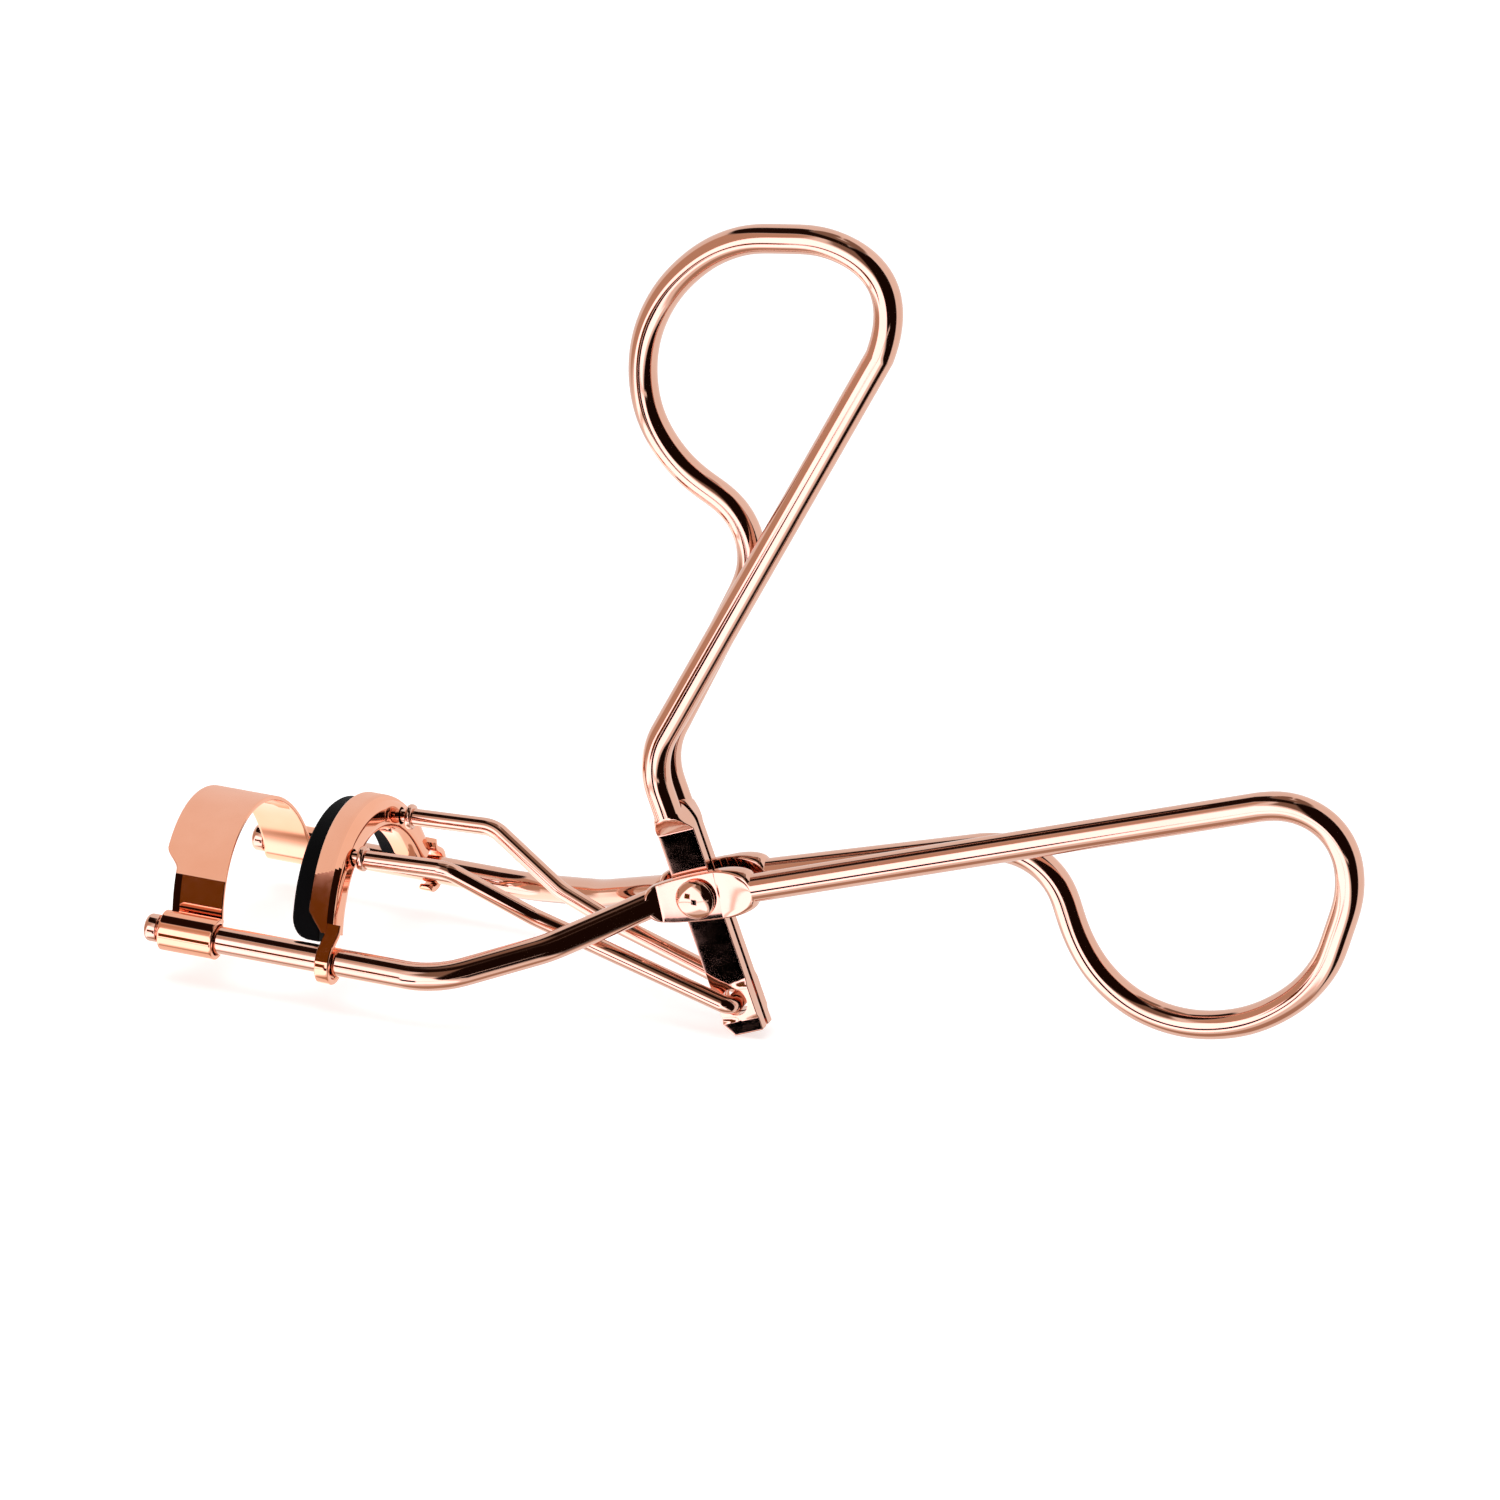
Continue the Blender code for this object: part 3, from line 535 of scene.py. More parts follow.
# %% [markdown]
# ## The frame wire
# One wire makes both guide rods, the eyelets and the lower loop. A button is turned on each rod's tip. Before
# each leg the wire is forged to a flat eye that swells to 4.1 mm, and a plane runs back from it to the leg.

# %% Frame wire
ROD_Y, ROD_DROP, ROD_TIP_X = 11.5, 7.65, -45.4
TIP_LENGTH, TIP_ROUND, GROOVE_DEPTH, GROOVE_SLOPE, GROOVE_WIDTH = 1.15, 0.45, 0.25, 0.1, 0.2
GROOVE_EDGE, GROOVE_EDGE_DEPTH, POLE_R = 0.08, 0.06, 0.01
ROD_BEND_X, ROD_BEND_R, SHANK_BOW, SHANK_BOW_R = -19.5, 9.0, (0.6, 0, -0.4), 16.0
SHANK_START, SHANK_END_R, FRAME_LEG_ANGLE = 4.45, 0.1, 19.2
EYELET_Y, EYELET_T, EYELET_WIDTH, EYELET_WIDEST = 1.925, 1.0, 4.1, 2.7
EYELET_TO_LEG, EYELET_TO_ROD, EYELET_FOLD, EYELET_FLAT_TO = 2.5, 7.1, 2.0, -3.4
EYELET_CORNER, EYELET_SLANT, EYELET_CREASE, EYELET_STEPS = 0.22, 0.09, 0.15, 60


def rod_tip():
    """The button at a rod's tip and the groove behind it."""
    stations = [(0, POLE_R), (0, WIRE_R - TIP_ROUND)]
    for angle in np.linspace(0, 90, 8)[1:]:
        cos_a, sin_a = turned(angle)
        stations.append((TIP_ROUND * (1 - cos_a), WIRE_R - TIP_ROUND * (1 - sin_a)))
    floor_end = GROOVE_SLOPE + GROOVE_WIDTH
    groove = TIP_LENGTH + np.array([-GROOVE_EDGE, 0, GROOVE_SLOPE, floor_end, GROOVE_SLOPE + floor_end])
    depths = np.array([0, GROOVE_EDGE_DEPTH, GROOVE_DEPTH, GROOVE_DEPTH, GROOVE_EDGE_DEPTH])
    stations += zip(groove, WIRE_R - depths)
    stations.append((groove[-1] + GROOVE_EDGE, WIRE_R))
    spots = np.array([(ROD_TIP_X + x, -ROD_Y, -ROD_DROP) for x, _ in stations])
    return round_rows(spots, np.array([r for _, r in stations]))


def eyelet(along):
    """The flat eye, from round wire to flat and back along the fixed leg."""
    first, last = EYELET_WIDEST - EYELET_TO_ROD, EYELET_WIDEST + EYELET_TO_LEG
    flat = EYELET_T / 2
    crease = EYELET_FOLD + np.linspace(-EYELET_CREASE, EYELET_CREASE, 5)
    u = np.unique(np.round(np.concatenate([np.linspace(first, last, EYELET_STEPS), crease]), 4))
    reach = np.where(u > EYELET_WIDEST, EYELET_TO_LEG, EYELET_TO_ROD)
    bulge = np.sqrt(np.clip(1 - ((u - EYELET_WIDEST) / reach) ** 2, 0, 1))
    width = WIRE_R + (EYELET_WIDTH / 2 - WIRE_R) * bulge
    raised = np.interp(u, [first, EYELET_FLAT_TO, EYELET_FOLD, last], [1, 0, 0, 1])
    half = flat + (WIRE_R - flat) * raised
    corner = np.minimum(EYELET_CORNER + (WIRE_R - EYELET_CORNER) * raised ** 1.5, half)
    spots = np.outer(u, along)
    spots[:, 1] = -EYELET_Y
    return np.column_stack([spots, width, width, half, corner, EYELET_SLANT * (1 - raised)])


def frame_rows():
    cos_leg, sin_leg = turned(FRAME_LEG_ANGLE)
    along, towards = np.array([cos_leg, 0, sin_leg]), np.array([sin_leg, 0, -cos_leg])
    tip, eye_rows = rod_tip(), eyelet(along)
    bend = np.array([ROD_BEND_X, -ROD_Y, -ROD_DROP])
    top = -SHANK_START * along
    top[1] = -EYELET_Y
    bow = (bend + top) / 2 + SHANK_BOW
    corners = [tip[-1, :3], bend, bow, top, eye_rows[0, :3]]
    shank = bent_path(corners, [ROD_BEND_R, SHANK_BOW_R, SHANK_END_R])[1:-1]
    near = np.vstack([tip, round_rows(shank, WIRE_R), eye_rows])
    return np.vstack([near, finger_loop(np.zeros(3), along, towards, LOWER_BULGE), mirrored(near)])


def pin(name, start, end, radius):
    """A round bar, for a cutter."""
    return wire(name, round_rows(np.linspace(start, end, 2), radius), None, None)


RIVET_HOLE_R = 1.05
rivet_hole = pin("rivet_hole", (0, -ROD_Y, 0), (0, ROD_Y, 0), RIVET_HOLE_R)
frame_wire = cut_holes(wire("frame_wire_polished", frame_rows(), wire_finish), rivet_hole)
smooth(frame_wire)
print("frame wire", len(frame_wire.data.polygons), "faces")

# %% [markdown]
# ## The handle wire
# The upper loop's two legs kink and end in flat lever plates. Each plate is struck from the round wire, so a
# plane face slopes from the wire down to the plate. The lower corner is clipped on the jaws' side.

# %% Handle wire
PLATE_Y, PLATE_T, PLATE_WIDTH, PLATE_LEAN, PLATE_OFFSET = 0.675, 1.0, 3.4, 23.0, 0.4
PLATE_ABOVE, PLATE_BELOW, PLATE_FACET, PLATE_CHAMFER, PLATE_CHAMFER_BY = 5.7, 12.7, 1.8, 1.2, 0.7
PLATE_CORNER, PLATE_SLANT, PLATE_SLANT_AT = 0.13, 0.12, (8.1, 8.6, 11.2, 11.5)
PLATE_END, PLATE_STEPS = ((0, 0.1), (0.04, 0.04), (0.1, 0)), 70
FACET_EDGE, FACET_PARTS = 3, ((0.02, 0.1, 3), (0.15, 0.75, 7), (0.78, 1, 12))
HANDLE_LEG_ANGLE, HANDLE_LEG_OFFSET, HANDLE_KINK_R = 65.0, 9.35, 6.5
LINK_HOLE_R, LINK_HOLE_D = 9.8, 2.4


def plate_axis(below):
    """A point of the lever plates' centre line, which passes the rivet a little to the jaws' side."""
    cos_lean, sin_lean = turned(PLATE_LEAN)
    return np.array([sin_lean, 0, -cos_lean]) * below - PLATE_OFFSET * np.array([cos_lean, 0, sin_lean])


def handle_rows():
    cos_leg, sin_leg = turned(HANDLE_LEG_ANGLE)
    along, towards = np.array([cos_leg, 0, sin_leg]), np.array([-sin_leg, 0, cos_leg])
    loop = finger_loop(HANDLE_LEG_OFFSET * towards, along, towards, UPPER_BULGE)
    half_width, half = PLATE_WIDTH / 2, PLATE_T / 2
    rows = []
    tip = [(back, 0.0) for back in np.linspace(0.14, PLATE_CHAMFER - 0.04, 6)]
    for back, inset in (*PLATE_END, *tip):
        below = PLATE_BELOW - back
        cut = PLATE_CHAMFER_BY * (1 - (PLATE_BELOW - below) / PLATE_CHAMFER)
        rows.append((*(plate_axis(below) - (0, PLATE_Y, 0)), half_width - cut - inset, half_width - inset,
                     half - inset, PLATE_CORNER, 0))
    full = PLATE_BELOW - PLATE_CHAMFER
    for below in (full, *np.linspace(full - 0.1, -PLATE_ABOVE + 0.15, PLATE_STEPS)):
        slant = PLATE_SLANT * np.interp(below, PLATE_SLANT_AT, [0, 1, 1, 0])
        spot = plate_axis(below) - (0, PLATE_Y, 0)
        rows.append((*spot, half_width, half_width, half, PLATE_CORNER, slant))
    for part in np.concatenate([np.linspace(*span) for span in FACET_PARTS]):
        spot = plate_axis(-PLATE_ABOVE - PLATE_FACET * part) - (0, PLATE_Y + (LOOP_Y - PLATE_Y) * part, 0)
        width = half_width + (WIRE_R - half_width) * part * part * (3 - 2 * part)
        thick = half + (WIRE_R - half) * part
        corner = max(PLATE_CORNER, width * (1 - (1 - part ** FACET_EDGE) ** 0.5))
        rows.append((*spot, width, width, thick, corner, 0))
    start = plate_axis(0)
    rise = plate_axis(-1) - start
    kink = start + rise * (HANDLE_LEG_OFFSET - start @ towards) / (rise @ towards) - (0, LOOP_Y, 0)
    arm = bent_path([rows[-1][:3], kink, loop[0, :3]], [HANDLE_KINK_R])[1:-1]
    near = np.vstack([rows, round_rows(arm, WIRE_R)])
    return np.vstack([near, loop, mirrored(near)])


link_axis = plate_axis(LINK_HOLE_R)
link_hole = pin("link_hole", link_axis - (0, ROD_Y, 0), link_axis + (0, ROD_Y, 0), LINK_HOLE_D / 2)
handle_wire = cut_holes(wire("handle_wire_polished", handle_rows(), wire_finish), rivet_hole, link_hole)
smooth(handle_wire)
print("handle wire", len(handle_wire.data.polygons), "faces")

# %% [markdown]
# ## Rivet and push link
# The rivet is a pin with two domed heads. The link is a thin wire bent to a U, with a collar and a headed
# spigot upset at each end. Both are round all along, so the same tree sweeps them with changing radii.

# %% Rivet
RIVET_D, RIVET_HEAD_D, RIVET_HEAD_H, RIVET_FACE = 1.8, 3.4, 0.85, 2.575
RIVET_RIM, RIVET_EDGE = 0.16, 0.05


def rivet_rows():
    rim, head_r = RIVET_FACE + RIVET_RIM, RIVET_HEAD_D / 2
    dome = [(rim + (RIVET_HEAD_H - RIVET_RIM) * turned(a)[1], head_r * turned(a)[0])
            for a in (*np.linspace(89, 6, 22), 0)]
    profile = [(dome[0][0], POLE_R), *dome, (RIVET_FACE + RIVET_EDGE, head_r),
               (RIVET_FACE, head_r - RIVET_EDGE), (RIVET_FACE, RIVET_D / 2)]
    profile += [(-y, r) for y, r in profile[::-1]]
    return round_rows(np.array([(0, -y, 0) for y, _ in profile]), np.array([r for _, r in profile]))


rivet = wire("pivot_rivet_polished", rivet_rows(), wire_finish, None)
smooth(rivet, 60)

# %% Push link
ARCH_DROP, CHANNEL_MID_R, LEAN = 2.272, 10.702, math.tan(math.radians(8.5))
CHANNEL_REAR_X, CHANNEL_WEB = -28.4, 0.5
LINK_D, LINK_Y, LINK_SPIGOT_D, LINK_HEAD_D, LINK_HEAD_T, LINK_HEAD_GAP = 1.5, 5.4, 1.1, 1.6, 0.4, 0.25
LINK_COLLAR_D, LINK_COLLAR_T, LINK_COLLAR_STANDOFF = 2.2, 0.55, 0.6
LINK_HEAD_CHAMFER, LINK_COLLAR_ROUND = 0.1, 0.15
LINK_KNEE_X, LINK_KNEE_RISE, LINK_SEAT, LINK_ELBOW_R = -21.0, 0.45, 0.113, 0.9
LINK_WAIST, LINK_SHIN = (-13.9, -3.25, -3.95), (-9.0, -2.6, -5.6)
LINK_RADII = [3.0, 5.0, 20.0, LINK_ELBOW_R]
PLATE_OUTER_Y = 1.175


def leaned(x, radius, angle_deg):
    """A point of the sliding jaw: x at rod height, leaned forward with height, on an arc of the arch."""
    cos_arc, sin_arc = turned(angle_deg)
    zeta = radius * cos_arc - ARCH_DROP
    return np.array([x - LEAN * zeta, radius * sin_arc, zeta - ROD_DROP])


link_angle = math.degrees(math.asin(-LINK_Y / CHANNEL_MID_R))
link_foot = leaned(CHANNEL_REAR_X - CHANNEL_WEB / 2, CHANNEL_MID_R, link_angle)


def link_rows():
    knee = np.array([LINK_KNEE_X, -LINK_Y, link_foot[2] + LINK_KNEE_RISE])
    aim = unit(knee - link_foot)
    head, collar = -CHANNEL_WEB / 2 - LINK_HEAD_GAP, CHANNEL_WEB / 2 + LINK_COLLAR_STANDOFF
    far, half = collar + LINK_COLLAR_T, LINK_D / 2
    end, head_r, collar_r = head - LINK_HEAD_T, LINK_HEAD_D / 2, LINK_COLLAR_D / 2
    stations = [(end, POLE_R), (end, head_r - LINK_HEAD_CHAMFER), (end + LINK_HEAD_CHAMFER, head_r),
                (head, head_r), (head, LINK_SPIGOT_D / 2), (collar, LINK_SPIGOT_D / 2),
                (collar, collar_r - LINK_COLLAR_ROUND)]
    for angle in np.linspace(30, 150, 7):
        cos_a, sin_a = turned(angle)
        stations.append((collar + LINK_COLLAR_T / 2 * (1 - cos_a),
                         collar_r - LINK_COLLAR_ROUND * (1 - sin_a)))
    stations += [(far, collar_r - LINK_COLLAR_ROUND), (far, half)]
    ends = np.array([link_foot + aim * place for place, _ in stations])
    bar = link_axis - (0, 0, LINK_SEAT)
    elbow = bar - (0, PLATE_OUTER_Y + LINK_ELBOW_R, 0)
    near = bent_path([ends[-1], knee, LINK_WAIST, LINK_SHIN, elbow, bar], LINK_RADII)[1:-1]
    points = np.vstack([ends, near])
    radii = np.array([r for _, r in stations] + [half] * len(near))
    return round_rows(np.vstack([points, points[::-1] * (1, -1, 1)]), np.concatenate([radii, radii[::-1]]))


push_link = wire("push_link_polished", link_rows(), wire_finish, None)
smooth(push_link)
print("rivet and link", len(rivet.data.polygons), len(push_link.data.polygons), "faces")

# %% [markdown]
# ## The fixed jaw
# One strip of sheet is rolled round a rod's tip, bent over in an arch and rolled round the other rod. Near
# the rods the strip is narrower. It is drawn as a surface, thickened, and its edges get a small bevel.
#
# The photo's jaws have an even crown over brown legs, and a plain arch doesn't mirror the room like that. So
# turn_normals turns the shading normals of both jaws' outer faces. The angles were chosen for the photo's
# view. They are a shading trick and no measured shape: the mesh keeps its arch.

# %% Fixed jaw
JAW_SHEET, ROLL_R, ARCH_R, JAW_ROLL_WRAP = 0.4, 1.55, 10.172, 300.0
JAW_REAR_X, JAW_BAND, JAW_LEG_BAND, JAW_NOTCH = -39.2, 5.75, 4.6, (4.1, 5.4)
SLEEVE_X = (-43.85, -38.9)
JAW_FOLD, JAW_CURL_X, JAW_ROLL_OUT = (3.85, 0.0), -43.1, 2.1
LEG_FOOT, LEG_CLIMB, CURL_CLIMB, CROWN_FROM, CROWN_SLOPE, TURN_LIMIT = 0.6, 10, 47, 68, 35, 60
CURLED, SIDEWAYS, OUTER_FROM = 0.3, 0.75, 0.6
BAND_CUTS, ROLL_STEPS, QUARTER_STEPS, JAW_BEVEL = 20, 72, 60, 0.1


def fixed_jaw_surface():
    meet = -math.degrees(math.atan2(ARCH_DROP, ROD_Y))
    roll = []
    for angle in np.linspace(meet - JAW_ROLL_WRAP, meet, ROLL_STEPS):
        cos_a, sin_a = turned(angle)
        roll.append((-ROD_Y + ROLL_R * cos_a, ROLL_R * sin_a, *SLEEVE_X))
    quarter = np.linspace(-meet, 90, QUARTER_STEPS)[1:]
    arch = []
    for angle in np.concatenate([180 - quarter, quarter[:-1][::-1]]):
        cos_a, sin_a = turned(angle)
        zeta = ARCH_R * sin_a - ARCH_DROP
        rear = JAW_REAR_X - LEAN * zeta
        wide = np.clip((zeta - JAW_NOTCH[0]) / (JAW_NOTCH[1] - JAW_NOTCH[0]), 0, 1)
        band = JAW_LEG_BAND + (JAW_BAND - JAW_LEG_BAND) * wide * wide * (3 - 2 * wide)
        arch.append((ARCH_R * cos_a, zeta, rear - band, rear))
    roll = np.array(roll)
    lines = np.vstack([roll, arch, roll[::-1] * (-1, 1, 1, 1)])
    parts = np.linspace(0, 1, BAND_CUTS + 1)
    spots = [(front + (rear - front) * part, y, zeta - ROD_DROP)
             for y, zeta, front, rear in lines for part in parts]
    return np.array(spots), grid_faces(len(lines), len(parts))


def turn_normals(piece, fold, curl_x, clear_of_rod):
    """Turns only the shading normals of a jaw's outer face. Returns the middle, 90 % and largest turn."""
    mesh = piece.data
    normals = np.array([corner.vector for corner in mesh.corner_normals])
    own = normals.copy()
    for face in mesh.polygons:
        x, y, z = np.array(face.center) / MM - PIVOT
        rise = z + ROD_DROP
        over = rise + ARCH_DROP
        outward = (face.normal.y * y + face.normal.z * over) / math.hypot(y, over)
        is_outer = outward >= OUTER_FROM and abs(face.normal.x) <= SIDEWAYS
        if not is_outer or rise < LEG_FOOT or math.hypot(abs(y) - ROD_Y, rise) < clear_of_rod:
            continue
        is_crown = rise > fold[0] + fold[1] * (x + LEAN * rise - CHANNEL_REAR_X)
        is_curled = abs(face.normal.x) > CURLED or x + LEAN * rise < curl_x
        for corner in face.loop_indices:
            climb = CURL_CLIMB if is_curled else LEG_CLIMB
            if is_crown:
                slope = math.degrees(math.atan2(normals[corner, 2], abs(normals[corner, 1])))
                climb = CROWN_FROM + (90 - CROWN_FROM) * max(0.0, slope - CROWN_SLOPE) / (90 - CROWN_SLOPE)
            cos_c, sin_c = turned(climb)
            aside = normals[corner, 0] if is_crown else 0.0
            reach = math.sqrt(1 - aside ** 2)
            aimed = np.array([aside, reach * cos_c * np.sign(y), reach * sin_c])
            if aimed @ own[corner] > turned(TURN_LIMIT)[0]:
                normals[corner] = aimed
    mesh.normals_split_custom_set(normals.tolist())
    turns = np.degrees(np.arccos(np.clip((own * normals).sum(axis=1), -1, 1)))
    return [round(float(np.quantile(turns[turns > 0.1], q)), 1) for q in (0.5, 0.9, 1)]


def mesh_object(name, spots, faces, finish):
    mesh = bpy.data.meshes.new(name)
    mesh.from_pydata(((np.array(spots) + PIVOT) * MM).tolist(), [], faces)
    mesh.materials.append(finish)
    return plain(name, mesh)


fixed_jaw = mesh_object("fixed_jaw_polished", *fixed_jaw_surface(), sheet_finish)
sheet = fixed_jaw.modifiers.new("sheet", "SOLIDIFY")
sheet.thickness = JAW_SHEET * MM
sheet.offset = 0
fixed_jaw = soften(settled(fixed_jaw), JAW_BEVEL, 50)
turned_by = turn_normals(fixed_jaw, JAW_FOLD, JAW_CURL_X, JAW_ROLL_OUT)
print("fixed jaw", len(fixed_jaw.data.polygons), "faces, normals turned by", turned_by, "degrees")

# %% [markdown]
# ## The sliding jaw
# It is a pressed channel, bent to the same arch, open to the front for the pad. Each end runs out in a narrow
# strip that hooks round its rod. A section is swept over the arch, and the hooks are joined to it.

# %% Sliding jaw
CHANNEL_FRONT_X, CHANNEL_IN_R, CHANNEL_OUT_R = -30.7, 9.252, 12.152
CHANNEL_WALL, CHANNEL_EDGE_R, CHANNEL_LIP, PAD_PROUD = 0.45, 0.9, 0.12, 1.8
CHANNEL_SPAN, CHANNEL_CUT_FROM, CHANNEL_CUT_BY = 67.99, 60.49, 1.2
CHANNEL_FOLD, CHANNEL_FLOOR_R, WEB_HOLE_GAP, WEB_HOLE_REACH = (6.9, 0.3), 0.05, 0.2, 0.75
HOOK_T, HOOK_WIDTH, HOOK_REAR_X, HOOK_ROOT, HOOK_ROOT_R = 0.55, 1.3, -28.2, 4.0, 0.9
HOOK_WRAP, HOOK_R, HOOK_EDGE, HOOK_END = 200.0, 1.725, 0.2, (0.03, 0.09, 0.2)
ARCH_RINGS, WALL_CUTS, CORNER_STEPS, HOOK_STEPS = 241, 8, 6, 60


def ring_solid(rings):
    """Vertices and faces of a closed body lofted through rings of equal count."""
    rings = np.asarray(rings, float)
    count, sides = rings.shape[:2]
    faces = [(low + side, low + (side + 1) % sides, low + sides + (side + 1) % sides, low + sides + side)
             for low in range(0, (count - 1) * sides, sides) for side in range(sides)]
    faces += [tuple(range(sides)), tuple(range((count - 1) * sides, count * sides))]
    return rings.reshape(-1, 3), faces


def swept_arch(span, section):
    """Sweeps a section, given as points radius, x for each angle, over the arch from end to end."""
    return ring_solid([[leaned(x, r, angle) for r, x in section(abs(angle))]
                       for angle in np.linspace(-span, span, ARCH_RINGS)])


def rounded_outline(corners, cuts=1):
    """An outline of radius, x points, rounded at its corners by their own radii and cut along its sides."""
    points = []
    for index, (r, x, size) in enumerate(corners):
        here = np.array([r, x])
        back = unit(np.array(corners[index - 1][:2]) - here)
        ahead = unit(np.array(corners[(index + 1) % len(corners)][:2]) - here)
        middle = here + (back + ahead) * size
        for angle in np.linspace(0, 90, CORNER_STEPS):
            cos_a, sin_a = turned(angle)
            points.append(middle - size * (ahead * cos_a + back * sin_a))
        onward = np.array(corners[(index + 1) % len(corners)])
        end = onward[:2] - ahead * onward[2]
        points += [points[-1] + (end - points[-1]) * part for part in np.linspace(0, 1, cuts + 1)[1:-1]]
    return points


def channel_section(angle_deg):
    front = CHANNEL_FRONT_X + np.interp(angle_deg, [CHANNEL_CUT_FROM, CHANNEL_SPAN], [0, CHANNEL_CUT_BY])
    floor = CHANNEL_REAR_X - CHANNEL_WEB
    low, high = CHANNEL_IN_R + CHANNEL_WALL, CHANNEL_OUT_R - CHANNEL_WALL
    return rounded_outline([
        (CHANNEL_IN_R, front, CHANNEL_LIP), (CHANNEL_IN_R, CHANNEL_REAR_X, CHANNEL_EDGE_R),
        (CHANNEL_OUT_R, CHANNEL_REAR_X, CHANNEL_EDGE_R), (CHANNEL_OUT_R, front, CHANNEL_LIP),
        (high, front, CHANNEL_LIP), (high, floor, CHANNEL_FLOOR_R),
        (low, floor, CHANNEL_FLOOR_R), (low, front, CHANNEL_LIP)], WALL_CUTS)


def hook_rows(side):
    """A strip from the channel's outer wall, over a rod and round underneath it."""
    wall_r = CHANNEL_OUT_R - CHANNEL_WALL / 2
    rod = np.array([-ROD_Y, 0.0])
    root, leave = [np.array([-wall_r * turned(a)[1], wall_r * turned(a)[0] - ARCH_DROP])
                   for a in (CHANNEL_SPAN - HOOK_ROOT, CHANNEL_SPAN)]
    away = leave - rod
    first = math.degrees(math.atan2(away[1], away[0]) + math.acos(HOOK_R / np.linalg.norm(away)))
    around = [rod + HOOK_R * np.array(turned(a)) for a in np.linspace(first, first + HOOK_WRAP, HOOK_STEPS)]
    start = bent_path([(0, *root), (0, *leave), (0, *around[0])], [HOOK_ROOT_R])
    path = np.vstack([start, np.column_stack([np.zeros(len(around) - 1), around[1:]])])
    path = path * (1, side, 1) + (HOOK_REAR_X - HOOK_WIDTH / 2, 0, -ROD_DROP)
    half_t, half_w = HOOK_T / 2, HOOK_WIDTH / 2
    inset = np.zeros(len(path))
    inset[-3:] = HOOK_END
    return np.column_stack([path, half_t - inset, half_t - inset, half_w - 1.5 * inset,
                            np.minimum(HOOK_EDGE, half_t - inset), np.zeros(len(path))])


sliding_jaw = mesh_object("sliding_jaw_polished", *swept_arch(CHANNEL_SPAN, channel_section), sheet_finish)
for side, word in ((1, "near"), (-1, "far")):
    hook = wire("hook_" + word, hook_rows(side), sheet_finish, (1, 0, 0))
    joined = sliding_jaw.modifiers.new(hook.name, "BOOLEAN")
    joined.operation = "UNION"
    joined.solver = "EXACT"
    joined.object = hook
    sliding_jaw = settled(sliding_jaw)
    bpy.data.objects.remove(hook)
    foot, reach = link_foot * (1, side, 1), np.array([WEB_HOLE_REACH, 0, 0])
    web_hole = pin("web_hole_" + word, foot - reach, foot + reach, LINK_SPIGOT_D / 2 + WEB_HOLE_GAP)
    sliding_jaw = cut_holes(sliding_jaw, web_hole)
    bpy.data.objects.remove(web_hole)
smooth(sliding_jaw, 40)
turned_by = turn_normals(sliding_jaw, CHANNEL_FOLD, CHANNEL_FRONT_X - PAD_PROUD, 0)
for spent in (rivet_hole, link_hole):
    bpy.data.objects.remove(spent)
print("sliding jaw", len(sliding_jaw.data.polygons), "faces, normals turned by", turned_by, "degrees")

# %% [markdown]
# ## The lash pad
# A moulded strip sits in the channel and stands proud of it. Its front is slightly crowned and its edges are
# soft, so light rolls over it, and it tapers into the channel at both ends.

# %% Lash pad
PAD_BACK_ROOM, PAD_SPAN, PAD_EDGE_R, PAD_CROWN = 1.0, 72.03, 0.32, 0.12
PAD_END_SPAN, PAD_END_CUT, PAD_SEAT, PAD_BACK_R, PAD_BEVEL = 9.0, 1.3, 0.15, 0.1, 0.15


def pad_section(angle_deg):
    past = max(0, angle_deg - PAD_SPAN + PAD_END_SPAN) / PAD_END_SPAN
    front = CHANNEL_FRONT_X - PAD_PROUD + PAD_END_CUT * (1 - math.sqrt(max(0, 1 - past ** 2)))
    back = CHANNEL_REAR_X - CHANNEL_WEB - PAD_BACK_ROOM
    low, high = CHANNEL_IN_R + CHANNEL_WALL + PAD_SEAT, CHANNEL_OUT_R - CHANNEL_WALL - PAD_SEAT
    outline = rounded_outline([(low, back, PAD_BACK_R), (low, front, PAD_EDGE_R),
                               (high, front, PAD_EDGE_R), (high, back, PAD_BACK_R)])
    middle, reach = (low + high) / 2, (high - low) / 2
    crown = front + PAD_EDGE_R
    return [(r, x - PAD_CROWN * (1 - ((r - middle) / reach) ** 2) + PAD_CROWN if x < crown else x)
            for r, x in outline]


lash_pad = mesh_object("lash_pad_satin", *swept_arch(PAD_SPAN, pad_section), pad_finish)
lash_pad = soften(lash_pad, PAD_BEVEL, 60)
print("lash pad", len(lash_pad.data.polygons), "faces")

# %% [markdown]
# ## The studio
# White surroundings are seen by the camera and by reflections alike. The floor and the one lamp aren't
# mirrored. Polished metal is drawn by what it mirrors, so cards stand round it as in a catalogue studio: dark
# ones give the wires their long dark bands, and a bright one low in front gives the highlights. Two stand
# close by: one tints the jaws' legs brown, and one brightens the arches' insides. Only reflections see them.

# %% Floor, world and lamp
FLOOR_TONE, FLOOR_GLOW, FLOOR_HALF, AMBIENT = "#F0F0F0", 0.55, 3.0, 0.5


def seen_or_mirrored(tree):
    """1 for camera, glossy and transmission rays, and 0 for the rays that carry light."""
    path = add(tree, "ShaderNodeLightPath", {}, {})
    some = add(tree, "ShaderNodeMath", {"operation": "ADD"}, {
        0: path.outputs["Is Camera Ray"], 1: path.outputs["Is Glossy Ray"]})
    return add(tree, "ShaderNodeMath", {"operation": "ADD", "use_clamp": True}, {
        0: some.outputs[0], 1: path.outputs["Is Transmission Ray"]}).outputs[0]


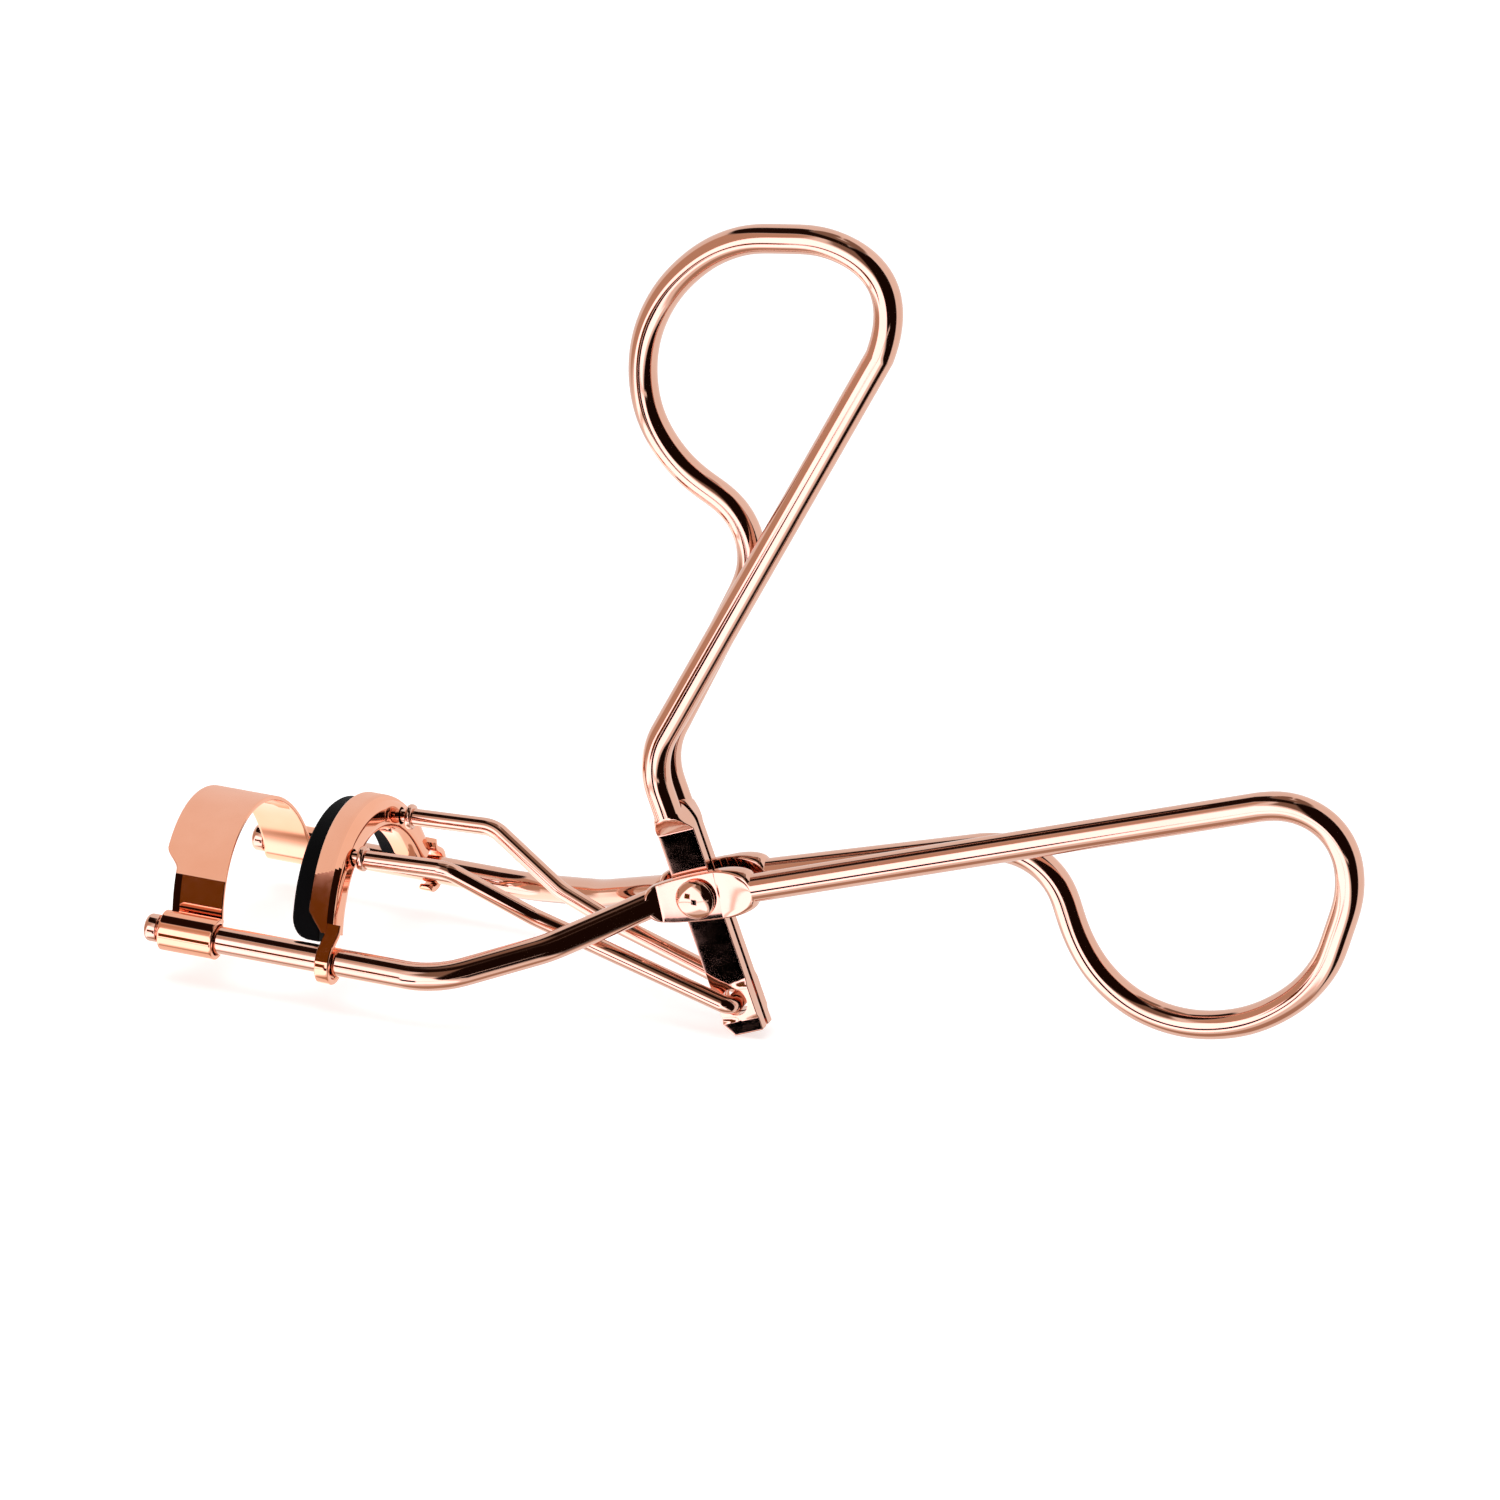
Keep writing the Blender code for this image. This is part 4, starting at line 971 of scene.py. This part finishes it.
def studio_world():
    world = bpy.data.worlds.new("white_studio")
    world.use_nodes = True
    tree = world.node_tree
    tree.nodes.clear()
    lit = add(tree, "ShaderNodeBackground", {}, {"Color": (1, 1, 1, 1), "Strength": AMBIENT})
    shown = add(tree, "ShaderNodeBackground", {}, {"Color": (1, 1, 1, 1), "Strength": 1.0})
    mixed = add(tree, "ShaderNodeMixShader", {}, {
        0: seen_or_mirrored(tree), 1: lit.outputs[0], 2: shown.outputs[0]})
    add(tree, "ShaderNodeOutputWorld", {}, {"Surface": mixed.outputs[0]})
    return world


def studio_floor():
    made, tree = new_material("matt_white_floor")
    tree.nodes.clear()
    paint = add(tree, "ShaderNodeBsdfDiffuse", {}, {"Color": linear(FLOOR_TONE)})
    glow = add(tree, "ShaderNodeEmission", {}, {"Strength": FLOOR_GLOW})
    none = add(tree, "ShaderNodeEmission", {}, {"Strength": 0.0})
    seen = add(tree, "ShaderNodeMixShader", {}, {
        0: seen_or_mirrored(tree), 1: none.outputs[0], 2: glow.outputs[0]})
    both = add(tree, "ShaderNodeAddShader", {}, {0: paint.outputs[0], 1: seen.outputs[0]})
    add(tree, "ShaderNodeOutputMaterial", {}, {"Surface": both.outputs[0]})
    return made


bpy.context.scene.world = studio_world()
floor_mesh = bpy.data.meshes.new("studio_floor")
floor_corners = [(x * FLOOR_HALF, y * FLOOR_HALF, 0) for x, y in ((-1, -1), (1, -1), (1, 1), (-1, 1))]
floor_mesh.from_pydata(floor_corners, [], [(0, 1, 2, 3)])
floor_mesh.materials.append(studio_floor())
floor = in_scene("studio_floor", floor_mesh)
floor.visible_glossy = False

softbox = bpy.data.lights.new("softbox", "AREA")
softbox.shape = "SQUARE"
softbox.size = 0.6
softbox.energy = 3.0
softbox_stand = in_scene("softbox", softbox)
softbox_stand.location = (-0.1, -0.2, 0.75)
softbox_stand.rotation_euler = (math.radians(-12), math.radians(-8), 0)
softbox_stand.visible_glossy = False
print("softbox", softbox.energy, "W")

# %% Reflection cards
CARD_CENTRE = PIVOT + (5, 0, 12)
CARD_CUTS = 40


def card_material(name, radiance, tint):
    made, tree = new_material(name)
    tree.nodes.clear()
    shown = add(tree, "ShaderNodeEmission", {}, {"Color": linear(tint), "Strength": radiance})
    clear = add(tree, "ShaderNodeBsdfTransparent", {}, {})
    edge = add(tree, "ShaderNodeAttribute", {"attribute_name": "feather"}, {})
    mixed = add(tree, "ShaderNodeMixShader", {}, {
        0: edge.outputs["Fac"], 1: clear.outputs[0], 2: shown.outputs[0]})
    add(tree, "ShaderNodeOutputMaterial", {}, {"Surface": mixed.outputs[0]})
    return made


def card(name, distance, outline, radiance, soft, tint="#FFFFFF"):
    """A bent card round the tool. The outline lists azimuth, lowest and highest elevation; soft fades it."""
    bearings, lows, highs = np.array(outline, float).T
    spots, fade = [], []
    for azimuth in np.linspace(bearings[0], bearings[-1], CARD_CUTS + 1):
        low, high = np.interp(azimuth, bearings, lows), np.interp(azimuth, bearings, highs)
        for elevation in np.linspace(low, high, CARD_CUTS + 1):
            spots.append((CARD_CENTRE + distance * direction(azimuth, elevation)) * MM)
            inside = min(elevation - low, high - elevation, azimuth - bearings[0], bearings[-1] - azimuth)
            part = min(1.0, inside / soft)
            fade.append(part * part * (3 - 2 * part))
    mesh = bpy.data.meshes.new(name)
    mesh.from_pydata([spot.tolist() for spot in spots], [], grid_faces(CARD_CUTS + 1, CARD_CUTS + 1))
    mesh.attributes.new("feather", "FLOAT", "POINT").data.foreach_set("value", fade)
    mesh.materials.append(card_material(name, radiance, tint))
    made = in_scene(name, mesh)
    made.visible_camera = made.visible_diffuse = made.visible_shadow = made.visible_transmission = False


BROWN, PEACH = "#C08060", "#FFDCC4"
card("bright_front", 500, [
    (-88, -54, -32), (-60, -58, -18), (-42, -55, 4), (-30, -52, 28), (-18, -48, 22),
    (0, -42, 10), (10, -45, -8), (22, -48, -24), (38, -54, -42)], 2.6, 6, "#FAF0FF")
card("dark_right", 520, [
    (2, -4, 60), (10, -12, 70), (30, -24, 74), (50, -44, 74), (75, -60, 72), (88, -62, 68)], 0.02, 5, BROWN)
card("dark_arch", 510, [
    (-124, 38, 72), (-70, 42, 73), (-40, 46, 74), (-20, 46, 75), (10, 38, 75)], 0.03, 5, BROWN)
card("grey_arch_foot", 505, [(-20, 26, 54), (10, 8, 54)], 0.25, 6, PEACH)
card("dim_top", 540, [(-180, 66, 90), (180, 66, 90)], 0.25, 6, PEACH)
card("grey_left", 560, [(-102, -28, 50), (-24, -18, 52)], 0.6, 10, PEACH)
card("grey_below", 570, [(-68, -90, -54), (108, -90, -54)], 0.5, 8, PEACH)
card("dim_back_left", 590, [(-180, -60, 70), (-96, -60, 70)], 0.92, 12)
card("bright_back", 70, [(-130, -54, -6), (-90, -58, -22)], 1.75, 4)
card("dark_line", 490, [(-92, -37.5, -33.5), (-38, -27, -23.5), (-9, -22.5, -19), (36, -12, -8.5)], 1.1, 1.5)
card("dark_flag", 480, [(-23, -29.5, -15.5), (-8, -29.5, -15.5)], 0.0, 1.5)
card("brown_flag", 176, [(-42, -20, -6), (-25, -20, -6)], 0.14, 1.5, "#FFA83A")

# %% [markdown]
# ## Hand the pieces to the frame
# Each piece moves with its CAD body and hides the node that it stands for. The table also gives each finish's
# slot name.

# %% Ride and replace
pieces = {
    frame_wire: ("frame", "frame_wire", "rose_gold_wire"),
    rivet: ("frame", "pivot_rivet", "rose_gold_wire"),
    fixed_jaw: ("frame", "upper_jaw", "rose_gold_sheet"),
    handle_wire: ("handle", "handle_wire", "rose_gold_wire"),
    sliding_jaw: ("slider", "lower_jaw", "rose_gold_sheet"),
    lash_pad: ("slider", "lash_pad", "black_silicone"),
    push_link: ("link", "push_link", "rose_gold_wire"),
}
for piece, (body, node, slot) in pieces.items():
    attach(piece, body)
    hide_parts(node)
